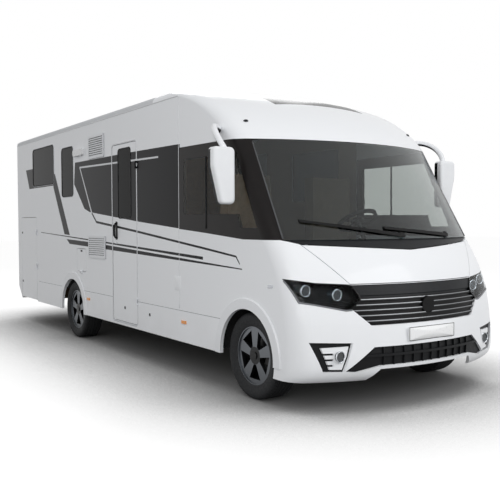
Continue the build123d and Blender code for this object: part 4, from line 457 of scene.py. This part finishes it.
# Drawn and anodised aluminium: a pale, nearly white satin. The same pale grey draws the thin lines
# round the window seals, which are a painted highlight on the edges of the window frames.
trim_and_highlight_grey = plain("anodised_trim_and_painted_highlight", "#C9CBCE", "#B9BBBE", 0.35, metallic=0.25)
# Chrome plated on ABS: it mirrors the room a little darker
chrome = plain("chrome_plated_abs", "#B9BCC0", "#A9ACB0", 0.12, metallic=1.0, period=120)
# Moulded polycarbonate: almost unseen over the lamp. The lamps' eyes are thick dark glass.
lens = clear("moulded_lamp_lens", "#EEF1F3", 0.01, 1.1)
bulb_eye = clear("projector_lens", "#3A4248", 0.02, 1.6, weight=0.6)
# Cast acrylic tinted in the mass: the living room hardly shows
smoked = clear("smoked_acrylic_pane", "#15191B", 0.03, 1.13)
# Laminated and toughened glass: the screen is greenish and mirrors more, the side glass is open
screen_glass = clear("laminated_windscreen", "#A8B2B4", 0.01, 1.42)
side_glass = clear("clear_side_glass", "#DDDAD3", 0.015, 1.14)
# Dyed and opal acrylic lamp covers: more colour than depth
amber = clear("amber_lamp_lens", "#F59A35", 0.08, 1.5, weight=0.15)
red_lens = clear("red_lamp_lens", "#9C1414", 0.08, 1.5, weight=0.4)
white_lens = plain("opal_lamp_cover", "#E4E5E6", "#DCDDDE", 0.3)
# Silvered glass: it mirrors sharply
mirror = plain("mirror_glass", "#CDD2D6", "#C5CACE", 0.03, metallic=1.0)
# Below: steel under black wax, raw castings with brake dust, and felted liners that shine nowhere
chassis = plain("black_wax_coated_steel", "#17181A", "#26241F", 0.5, period=150, grain=(6, 0.3))
cast = plain("cast_iron_and_dust", "#2B2C2E", "#3B3833", 0.65, metallic=0.3, grain=(8, 0.6))
liner = plain("felted_wheel_liner", "#101112", "#1A1A1A", 0.9, grain=(10, 0.8))
# Vulcanised rubber: deep grey and matt, with a slight sheen
rubber = plain("tyre_rubber", "#17181A", "#242526", 0.78, period=40, share=0.6, grain=(3, 0.3),
               specular=0.35)
alloy_cut = alloy()
seat_cloth = fabric("woven_seat_fabric", "#6A5D4D", "#7D6F5D")
laminate = wood("walnut_laminate", "#5C3F28", "#7A5636")
flooring = wood("floor_plywood", "#6E5B45", "#7F6B53")
# Enamelled aluminium sheet: an even white
plate_white = plain("blank_plate_enamel", "#F4F5F6", "#ECEDEE", 0.3)

FINISHES = {
    "wall_right": paint, "wall_left": paint, "hab_door": paint, "service_flap": paint,
    "garage_door_right": paint, "garage_door_left": paint, "front_wings": paint, "roof_cap": paint,
    "side_skirts": paint, "bonnet": paint_plain, "front_bumper": paint_plain, "roof": roof_skin,
    "wall_rear": moulding, "rear_bumper": moulding, "vent_grilles": slatted_moulding(),
    "mirrors": mirror_shell(), "window_surround": surround_paint(), "windscreen": screen_glass,
    "cab_windows": side_glass, "living_windows": smoked, "hab_door_window": smoked,
    "rooflights": smoked, "skylight": dome_black, "headlamp_covers": lens,
    "headlamp_housings": gloss_black, "headlamp_projectors": bulb_eye, "fog_lamps": bulb_eye,
    "number_plate": plate_white, "arch_trims": moulding, "upper_grille": grille_moulding(),
    "lower_grille": abs_black, "grille_bars": edged_bar(), "cowl": satin_dark,
    "wipers": seal_rubber, "mirror_glass": mirror, "marker_lamps": amber, "outside_lamp": white_lens,
    "tail_lamps": red_lens, "chassis_frame": chassis, "front_suspension": chassis,
    "rear_axle": chassis, "knuckle_left": cast, "knuckle_right": cast, "engine_block": cast,
    "wheel_housings": liner, "underfloor_tanks": liner, "floor": flooring, "entry_step": satin_dark,
    "dashboard": abs_black, "steering_wheel": abs_black, "cab_seats": seat_cloth,
    "furniture": laminate, "rim_fl": alloy_cut, "rim_fr": alloy_cut, "rim_rl": alloy_cut,
    "rim_rr": alloy_cut}

for node_name, finish in FINISHES.items():
    NODES[node_name].data.materials.clear()
    NODES[node_name].data.materials.append(finish)


# Meshes

def make_piece(name, points, faces, material, body="body"):
    """A smooth mesh piece from points in millimetres, its faces turned outwards, on a body."""
    mesh = bpy.data.meshes.new(name)
    mesh.from_pydata((np.asarray(points).reshape(-1, 3) * MM).tolist(), [], faces)
    shape = bmesh.new()
    shape.from_mesh(mesh)
    bmesh.ops.recalc_face_normals(shape, faces=shape.faces)
    shape.to_mesh(mesh)
    shape.free()
    mesh.polygons.foreach_set("use_smooth", np.ones(len(mesh.polygons), bool))
    mesh.materials.append(material)
    piece = bpy.data.objects.new(name, mesh)
    bpy.context.scene.collection.objects.link(piece)
    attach(piece, body)
    return piece


def grid_faces(rows, columns, wrap_rows=False, wrap_columns=False):
    """Quads of a grid of rows by columns, numbered row by row."""
    r = np.arange(rows if wrap_rows else rows - 1)
    c = np.arange(columns if wrap_columns else columns - 1)
    r, c = [a.ravel() for a in np.meshgrid(r, c, indexing="ij")]
    r1, c1 = (r + 1) % rows, (c + 1) % columns
    quads = np.stack([r * columns + c, r * columns + c1, r1 * columns + c1, r1 * columns + c], axis=1)
    return quads.tolist()


def ring_faces(rings, count):
    """Faces of rings joined one to the next, with the first and the last ring closed."""
    ends = [list(range(count)), list(range((rings - 1) * count, rings * count))]
    return grid_faces(rings, count, wrap_columns=True) + ends


def ring_corners(x0, x1, z0, z1, radius):
    """A rounded rectangle in (x, z), counter-clockwise: six points on each quarter circle."""
    turns = np.linspace(0, math.pi / 2, 6)
    rows = []
    for quarter, (cx, cz) in enumerate([(x1 - radius, z1 - radius), (x0 + radius, z1 - radius),
                                        (x0 + radius, z0 + radius), (x1 - radius, z0 + radius)]):
        a = turns + quarter * math.pi / 2
        rows.append(np.stack([cx + radius * np.cos(a), cz + radius * np.sin(a)], axis=1))
    return np.concatenate(rows)


def disc(x, z, radius):
    """A circle of 32 points."""
    turn = np.linspace(0, 2 * math.pi, 32, endpoint=False)
    return np.stack([x + radius * np.cos(turn), z + radius * np.sin(turn)], axis=1)


def eased(points, radius):
    """A convex outline with eased corners: each is a curve of four points between two on its
    edges, a square share of the first, a double share of the corner and a square share of the last."""
    points = np.array(points, float)
    before = np.roll(points, 1, axis=0) - points
    after = np.roll(points, -1, axis=0) - points
    before /= np.linalg.norm(before, axis=1, keepdims=True)
    after /= np.linalg.norm(after, axis=1, keepdims=True)
    t = np.linspace(0, 1, 4)[None, :, None]
    first = (points + before * radius)[:, None]
    last = (points + after * radius)[:, None]
    corner = points[:, None]
    return ((1 - t) ** 2 * first + 2 * t * (1 - t) * corner + t ** 2 * last).reshape(-1, 2)


def eased_box(x0, x1, z0, z1, radius):
    """A rectangle with eased corners."""
    return eased([(x0, z0), (x1, z0), (x1, z1), (x0, z1)], radius)


def on_side(side):
    """A map from (x, z, height over the side wall) to a place."""
    return lambda u, v, h: np.stack([u, side * (HALF_W + h) + 0 * u, v], axis=-1)


def wall_frame(name, corners, width, proud, material, body="body", side=-1):
    """A flat frame with eased edges lying on a side wall, round an opening.

    The section goes from the opening's edge outwards: up from the wall, over a slight crown and
    down again. Each point of the loop is moved outwards along its own normal in the plane."""
    ahead = np.roll(corners, -1, axis=0) - np.roll(corners, 1, axis=0)
    normal = np.stack([ahead[:, 1], -ahead[:, 0]], axis=1)
    normal /= np.linalg.norm(normal, axis=1, keepdims=True)
    section = np.array([(0.0, -2.0), (0.0, proud * 0.7), (0.12, proud), (0.88, proud),
                        (1.0, proud * 0.7), (1.0, -2.0)])
    flat = corners[:, None, :] + normal[:, None, :] * section[None, :, :1] * width
    points = on_side(side)(flat[..., 0], flat[..., 1], section[None, :, 1])
    return make_piece(name, points, grid_faces(*points.shape[:2], True, True), material, body)


def pad(name, corners, proud, material, body="body", place=on_side(-1), sunk=4.0):
    """A plate with eased edges on a surface: the outline rises, turns in and closes.

    Each ring is the outline drawn towards its own middle; the last one is the middle itself."""
    middle = corners.mean(axis=0)
    inwards = (middle - corners) / np.linalg.norm(corners - middle, axis=1, keepdims=True)
    section = [(0.0, -sunk), (0.0, proud * 0.5), (proud * 0.18, proud * 0.86), (proud * 0.6, proud)]
    rings = [place(*(corners + inwards * inset).T, height) for inset, height in section]
    rings.append(place(*(middle + (corners - middle) * 0.02).T, proud))
    points = np.stack(rings)
    return make_piece(name, points, ring_faces(*points.shape[:2]), material, body)


def tube(name, path, radius, material, body="body", flat=1.0):
    """A bar along a path: circles of 12 points square to the path, flattened by a share, closed
    at both ends."""
    path = np.array(path, float)
    ahead = np.gradient(path, axis=0)
    ahead /= np.linalg.norm(ahead, axis=1, keepdims=True)
    side = np.cross(ahead, np.where(np.abs(ahead[:, 2:3]) > 0.9, (1.0, 0.0, 0.0), (0.0, 0.0, 1.0)))
    side /= np.linalg.norm(side, axis=1, keepdims=True)
    up = np.cross(side, ahead)
    turn = np.linspace(0, 2 * math.pi, 12, endpoint=False)[None, :, None]
    points = path[:, None] + radius * (np.cos(turn) * side[:, None] * flat + np.sin(turn) * up[:, None])
    return make_piece(name, points, ring_faces(*points.shape[:2]), material, body)


def lamp_ring(name, centre, radius, tube_radius, material):
    """A ring that faces forward: a circle of 10 points, drawn out forwards to 1.6, carried round
    a large circle of 48."""
    around, across = np.meshgrid(np.linspace(0, 2 * math.pi, 48, endpoint=False),
                                 np.linspace(0, 2 * math.pi, 10, endpoint=False), indexing="ij")
    r = radius + tube_radius * np.cos(across)
    points = np.stack([centre[0] + tube_radius * np.sin(across) * 1.6, centre[1] + r * np.cos(around),
                       centre[2] + r * np.sin(around)], axis=-1)
    return make_piece(name, points, grid_faces(*points.shape[:2], True, True), material)


# Frames round the openings, whose rows are (distance from the rear end, length, low, height)

WINDOWS = {"right": [(890, 920, 2045, 520), (2150, 420, 1850, 625)],
           "left": [(890, 920, 2045, 520), (2900, 800, 1850, 560), (4250, 900, 1750, 600)]}
DOORWAY = (3850, 650, 383, 1987)
DOOR_PANE = (4020, 330, 1548, 760)
# The window panes' corner radius and the width of the seal round them
PANE_RADIUS, SEAL = 45, 14


def edges(opening, reach=0):
    """Rear x, front x, low z and high z of an opening, moved outwards by a reach."""
    back, length, low, height = opening
    return (back - REAR_END - reach, back - REAR_END + length + reach, low - reach,
            low + height + reach)


for hand, side in SIDES:
    for number, row in enumerate(WINDOWS[hand]):
        wall_frame(f"window_seal_{hand}_{number}", ring_corners(*edges(row), PANE_RADIUS), SEAL, 5,
                   seal_rubber, side=side)
        # The pale line round each seal is a painted highlight: it stands for the light caught on the
        # window frame's edge.
        wall_frame(f"window_line_{hand}_{number}", ring_corners(*edges(row, SEAL), PANE_RADIUS + SEAL),
                   5, 3, trim_and_highlight_grey, side=side)
wall_frame("door_frame_trim", ring_corners(*edges(DOORWAY), 40), 16, 4, trim_and_highlight_grey)
wall_frame("door_pane_seal", ring_corners(*edges(DOOR_PANE), 35), 12, 4, seal_rubber, "hab_door")


# Lamps and plate on the front

# The front's furthest x at a height, and the radius of its wide bow in plan
FRONT_Z = [250, 330, 450, 700, 850, 1000, 1170, 1343, 2195]
FRONT_X = [3740, 3800, 3810, 3785, 3755, 3705, 3620, 3500, 2963]
FRONT_BOW = 2300.0
# Ringed lamps as (name, distance from the middle, height, depth behind the front, radius, tube)
RINGED_LAMPS = [("lens_ring_{}_0", 1018, 953, 43, 43, 7), ("lens_ring_{}_1", 793, 918, 43, 43, 7),
                ("fog_ring_{}", 840, 454, 2, 42, 5)]
# The plate's front face, its half width, low and high edge, and the width of its border
PLATE_X, PLATE_HALF, PLATE_LOW, PLATE_HIGH, BORDER = 3804.2, 259, 543, 651, 4
# The lamp's lower edge from its outer tip inwards, as (distance from the middle, height)
LAMP_EDGE = np.array([(1140, 1030), (1093, 868), (994, 851), (768, 801), (720, 804)])
# The seal on the windscreen's pillar, from its foot to its head, on the left side
PILLAR_LINE = np.linspace((3228, 1071, 1350), (2733, 1028, 2166), 24)


def front_x(y, z):
    """The front's x at a place: its furthest x at that height, drawn back by the bow's circle."""
    return np.interp(z, FRONT_Z, FRONT_X) - FRONT_BOW + math.sqrt(FRONT_BOW ** 2 - y ** 2)


def on_plate(lift):
    """A map from (y, z, height over the plate) to a place; the lift raises the whole piece."""
    return lambda u, v, h: np.stack([PLATE_X + lift + h + 0 * u, u, v], axis=-1)


def met(node_name, y, z):
    """What a line from the front meets on a node: whether, where and its normal, in metres."""
    ahead = Vector((5.0, y * MM, z * MM))
    return NODES[node_name].ray_cast(ahead, Vector((-1.0, 0.0, 0.0)))[:3]


def front_point(y, z, proud):
    """The foremost place on the nose at a distance from the middle and a height, raised a little."""
    hits = [met(name, y, z) for name in ("front_wings", "front_bumper", "headlamp_housings")]
    return max(spot.x for found, spot, _ in hits if found) / MM + proud, y, z


for hand, side in SIDES:
    for name, y, z, depth, radius, tube_radius in RINGED_LAMPS:
        lamp_ring(name.format(hand), (front_x(y, z) - depth, side * y, z), radius, tube_radius, chrome)

inner = BORDER + 1
pad("plate_face", ring_corners(-PLATE_HALF + inner, PLATE_HALF - inner, PLATE_LOW + inner,
                               PLATE_HIGH - inner, 6), 0.6, plate_white, place=on_plate(0.2), sunk=0.2)
for number, sides in enumerate([
        (-PLATE_HALF, PLATE_HALF, PLATE_LOW, PLATE_LOW + BORDER),
        (-PLATE_HALF, PLATE_HALF, PLATE_HIGH - BORDER, PLATE_HIGH),
        (-PLATE_HALF, -PLATE_HALF + BORDER, PLATE_LOW + BORDER, PLATE_HIGH - BORDER),
        (PLATE_HALF - BORDER, PLATE_HALF, PLATE_LOW + BORDER, PLATE_HIGH - BORDER)]):
    pad(f"plate_border_{number}", eased_box(*sides, 1.0), 1.4, abs_black, place=on_plate(0.0), sunk=0.2)

steps = np.linspace(0, len(LAMP_EDGE) - 1, 45)
lamp_line = np.stack([np.interp(steps, np.arange(len(LAMP_EDGE)), column) for column in LAMP_EDGE.T],
                     axis=1)
for hand, side in SIDES:
    strip = [front_point(side * y, z, -3.0) for y, z in lamp_line.tolist()]
    tube(f"lamp_strip_{hand}", strip, 7, lamp_grey)
    tube(f"pillar_seal_{hand}", PILLAR_LINE * (1, side, 1), 6, pillar_rubber)


# Handle, locks, caps and strips on the sides

# The door handle's x, and its line from foot to head as (height over the wall, height)
HANDLE_X = 150
HANDLE_LINE = np.array([(4, 1318), (20, 1326), (30, 1345), (32, 1400), (30, 1458), (20, 1477),
                        (4, 1485)])
# Lock, caps and latch on the right side: name, outline, how proud, finish and body
CAPS = [("door_lock", disc(HANDLE_X, 1262, 13), 6, chrome, "hab_door"),
        ("door_cap", disc(365, 543, 17), 4, satin_dark, "hab_door"),
        ("skirt_cap", disc(993, 528, 17), 4, satin_dark, "body"),
        ("flap_latch", eased_box(-990, -940, 1128, 1152, 6), 5, satin_dark, "service_flap")]
GARAGE_LOCK_X, GARAGE_LOCK_HEIGHTS = -3505, (600, 1350)
REPEATER = [(3140, 962), (3206, 966), (3206, 990), (3140, 986)]
# Strips on both sides: name, rear or low end and front or high end as (x, z), points on the line,
# how deep it lies in the wall, radius, flattening and finish
STRIPS = [("cab_window_divider_{}", (2170, 1432), (2170, 2080), 12, 1, 11, 0.8, seal_rubber),
          ("roof_edge_strip_{}", (-3700, 2702), (1640, 2702), 60, 0.5, 6, 1.0, trim_and_highlight_grey),
          ("cab_joint_strip_{}", (1650, 660), (1650, 2690), 40, 1, 3.5, 1.0, trim_and_highlight_grey)]

pad("handle_plate", eased_box(124, 178, 1300, 1505, 14), 5, abs_black, "hab_door")
handle = on_side(-1)(HANDLE_X + 0 * HANDLE_LINE[:, 0], HANDLE_LINE[:, 1], HANDLE_LINE[:, 0])
tube("door_handle", handle, 10, abs_black, "hab_door", flat=1.3)
for cap in CAPS:
    pad(*cap)
for number, z in enumerate(GARAGE_LOCK_HEIGHTS):
    for hand, side in SIDES:
        pad(f"garage_lock_{hand}_{number}", disc(GARAGE_LOCK_X, z, 16), 6, satin_dark,
            f"garage_door_{hand}", place=on_side(side))
pad("fuel_cover", eased_box(1550, 1680, 830, 970, 12), 2.5, paint_plain)
for hand, side in SIDES:
    pad(f"side_repeater_{hand}", eased(REPEATER, 6), 6, chrome, place=on_side(side))
    for name, first, last, count, deep, radius, flat, finish in STRIPS:
        x, z = np.linspace(first, last, count).T
        tube(name.format(hand), on_side(side)(x, z, -deep), radius, finish, flat=flat)


def roof_marker(name, y, z):
    """A small dark dome on the roof cap, where a line from the front meets it.

    The dome is half an ellipsoid of 44 by 34 by 13: eight rings of latitude about the surface's
    own normal, the lowest a little under it."""
    _, spot, normal = met("roof_cap", y, z)
    across = normal.cross(Vector((0.0, 0.0, 1.0))).normalized()
    axes = np.array([across, normal.cross(across), normal])
    rise, turn = np.meshgrid(np.linspace(-0.25, math.pi / 2 * 0.97, 8),
                             np.linspace(0, 2 * math.pi, 28, endpoint=False), indexing="ij")
    local = np.stack([22 * np.cos(rise) * np.cos(turn), 17 * np.cos(rise) * np.sin(turn),
                      13 * np.sin(rise)], axis=-1)
    points = local @ axes + np.array(spot) / MM
    return make_piece(name, points, ring_faces(*points.shape[:2]), satin_dark)


for hand, side in SIDES:
    roof_marker(f"roof_marker_{hand}", side * 985, 2364)


# Tyres

# A sidewall from bead to shoulder, as (distance from the tyre's middle, radius)
SIDEWALL = np.array([(95, 246.6), (101, 252), (110, 275), (117, 300), (119.5, 320), (118, 334),
                     (113, 347), (106, 356), (99, 360.5)])
# Points round the tyre and across its crown, and the crown's half width and drop at the shoulders
TYRE_TURNS, CROWN_POINTS, CROWN_HALF, CROWN_DROP = 480, 61, 96, 3.2
# The grooves' middles and width, the tread's depth, and the radius under which nothing is cut
GROOVES, GROOVE_WIDTH, TREAD_DEPTH, TREAD_FOOT = (-58, -20, 20, 58), 9, 7.5, 352
# Slanted cuts round the tyre: how many, the width over which they advance by one, and their share
# of the way to the next
SHOULDER_CUTS, SHOULDER_SLANT, SHOULDER_SHARE = 72, 60, 0.16
MIDDLE_CUTS, MIDDLE_SLANT, MIDDLE_SHARE = 90, 45, 0.10
WHEELS = [("fr", FRONT_AXLE, -985), ("fl", FRONT_AXLE, 985), ("rr", REAR_AXLE, -1000),
          ("rl", REAR_AXLE, 1000)]


def tyre(name, axle_x, y, body, node_name):
    """A road tyre: a grid of turns by profile, which runs from bead to bead.

    Over the crown the radius drops where a groove runs round or a slanted cut crosses. A cut is
    where the turn in cuts, plus the way across over the slant, has a small fraction. The sidewalls
    carry three low rings, a sine of the radius."""
    crown = np.linspace(-CROWN_HALF, CROWN_HALF, CROWN_POINTS)
    top = np.stack([crown, AXLE_Z - CROWN_DROP * (crown / CROWN_HALF) ** 4], axis=1)
    profile = np.concatenate([SIDEWALL * (-1, 1), top, SIDEWALL[::-1]])
    turns = np.linspace(0, 2 * math.pi, TYRE_TURNS, endpoint=False)
    angle, w = np.meshgrid(turns, profile[:, 0], indexing="ij")
    r = np.broadcast_to(profile[:, 1], w.shape)
    whole = angle / (2 * math.pi)
    out = np.abs(w)
    groove = np.any([np.abs(w - centre) < GROOVE_WIDTH / 2 for centre in GROOVES], axis=0)
    shoulder = np.mod(whole * SHOULDER_CUTS + out / SHOULDER_SLANT, 1.0) < SHOULDER_SHARE
    middle = np.mod(whole * MIDDLE_CUTS + w / MIDDLE_SLANT, 1.0) < MIDDLE_SHARE
    cut = (r > TREAD_FOOT) * ((out > GROOVES[-1]) * shoulder + (out < GROOVES[-1]) * middle * 0.7)
    rings = 0.8 * np.sin(np.clip((r - 262) / 50, 0, 1) * math.pi * 6) * (r < 330)
    r = r - TREAD_DEPTH * np.maximum(groove, cut)
    w = w + np.sign(w) * rings
    points = np.stack([axle_x + r * np.sin(angle), y + w, AXLE_Z + r * np.cos(angle)], axis=-1)
    piece = make_piece(name, points, grid_faces(*points.shape[:2], wrap_rows=True), rubber, body)
    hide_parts(node_name)


for corner, axle_x, y in WHEELS:
    tyre(f"tread_tyre_{corner}", axle_x, y, f"wheel_{corner}", f"tyre_{corner}")


# Stage, light and camera, in metres

def seen(tree):
    """One for what the camera sees, also in a mirror or through glass."""
    path = add(tree, "LightPath", {})
    return joined(tree, "MAXIMUM", [path["Is Camera Ray"], path["Is Glossy Ray"],
                                    path["Is Transmission Ray"]])


def make_floor(reach=60.0, grey=0.26, brightness=0.85):
    """A wide pale floor that keeps the shadow; seen by the camera it comes out white.

    Its glow fades by the square of the open sky's share where the vehicle closes the sky off, so
    that the shadow stays deep."""
    mesh = bpy.data.meshes.new("floor_plane")
    mesh.from_pydata([(-reach, -reach, 0), (reach, -reach, 0), (reach, reach, 0), (-reach, reach, 0)],
                     [], [(0, 1, 2, 3)])
    plane = bpy.data.objects.new("floor_plane", mesh)
    bpy.context.scene.collection.objects.link(plane)
    material, tree, _, _ = start("pale_studio_floor")
    diffuse = add(tree, "BsdfDiffuse", {"Color": (grey, grey, grey, 1.0)})[0]
    open_sky = add(tree, "AmbientOcclusion", {"Distance": 1.6, "samples": 8})["AO"]
    fade = add(tree, "MapRange", {"Value": open_sky, "From Min": 0.36, "From Max": 0.95})[0]
    strength = joined(tree, "MULTIPLY", [seen(tree), brightness, fade, fade])
    glow = add(tree, "Emission", {"Color": linear("#FFFFFF"), "Strength": strength})[0]
    add(tree, "OutputMaterial", {"Surface": add(tree, "AddShader", {0: diffuse, 1: glow})[0]})
    mesh.materials.append(material)


def make_world(dimmed=0.50):
    """A white surround: full white where it is seen or mirrored, dimmer as a lamp."""
    world = bpy.data.worlds.new("studio")
    bpy.context.scene.world = world
    world.use_nodes = True
    tree = world.node_tree
    tree.nodes.clear()
    strength = joined(tree, "MAXIMUM", [seen(tree), dimmed])
    back = add(tree, "Background", {"Color": linear("#FFFFFF"), "Strength": strength})[0]
    add(tree, "OutputWorld", {"Surface": back})


def make_lamp(name, place, target, size, power):
    """A square soft box aimed at a point."""
    light = bpy.data.lights.new(name, "AREA")
    light.shape = "SQUARE"
    light.size = size
    light.energy = power
    lamp = bpy.data.objects.new(name, light)
    lamp.location = place
    lamp.rotation_euler = (Vector(target) - Vector(place)).to_track_quat("-Z", "Y").to_euler()
    bpy.context.scene.collection.objects.link(lamp)


def make_camera(place=(7.8244, -4.4457, 1.4724), turns=(146.337, 2.070, -0.215), focal=51.99):
    """The camera that the photograph's edges were fitted with.

    The turns are degrees round from the vehicle's front, downwards, and about the line of sight."""
    data = bpy.data.cameras.new("camera")
    data.sensor_width = 36.0
    data.lens = focal
    camera = bpy.data.objects.new("camera", data)
    yaw, pitch, roll = (math.radians(a) for a in turns)
    forward = Vector((math.cos(pitch) * math.cos(yaw), math.cos(pitch) * math.sin(yaw),
                      -math.sin(pitch)))
    right = Vector((math.sin(yaw), -math.cos(yaw), 0))
    up = right.cross(forward)
    right, up = (right * math.cos(roll) + up * math.sin(roll),
                 up * math.cos(roll) - right * math.sin(roll))
    turn = Matrix((right, up, -forward)).transposed().to_4x4()
    camera.matrix_world = Matrix.Translation(place) @ turn
    bpy.context.scene.collection.objects.link(camera)
    bpy.context.scene.camera = camera


make_floor()
make_world()
make_lamp("front_soft_box", (11.0, 4.0, 5.0), (2.5, 0, 1.2), 6.0, 405)
make_lamp("side_soft_box", (8.5, -8.0, 4.5), (3.2, -1.2, 0.9), 6.0, 380)
make_lamp("rear_soft_box", (-10.0, 6.0, 7.0), (-2, 0, 1.4), 7.0, 320)
make_camera()
bpy.context.scene.view_settings.view_transform = "Standard"
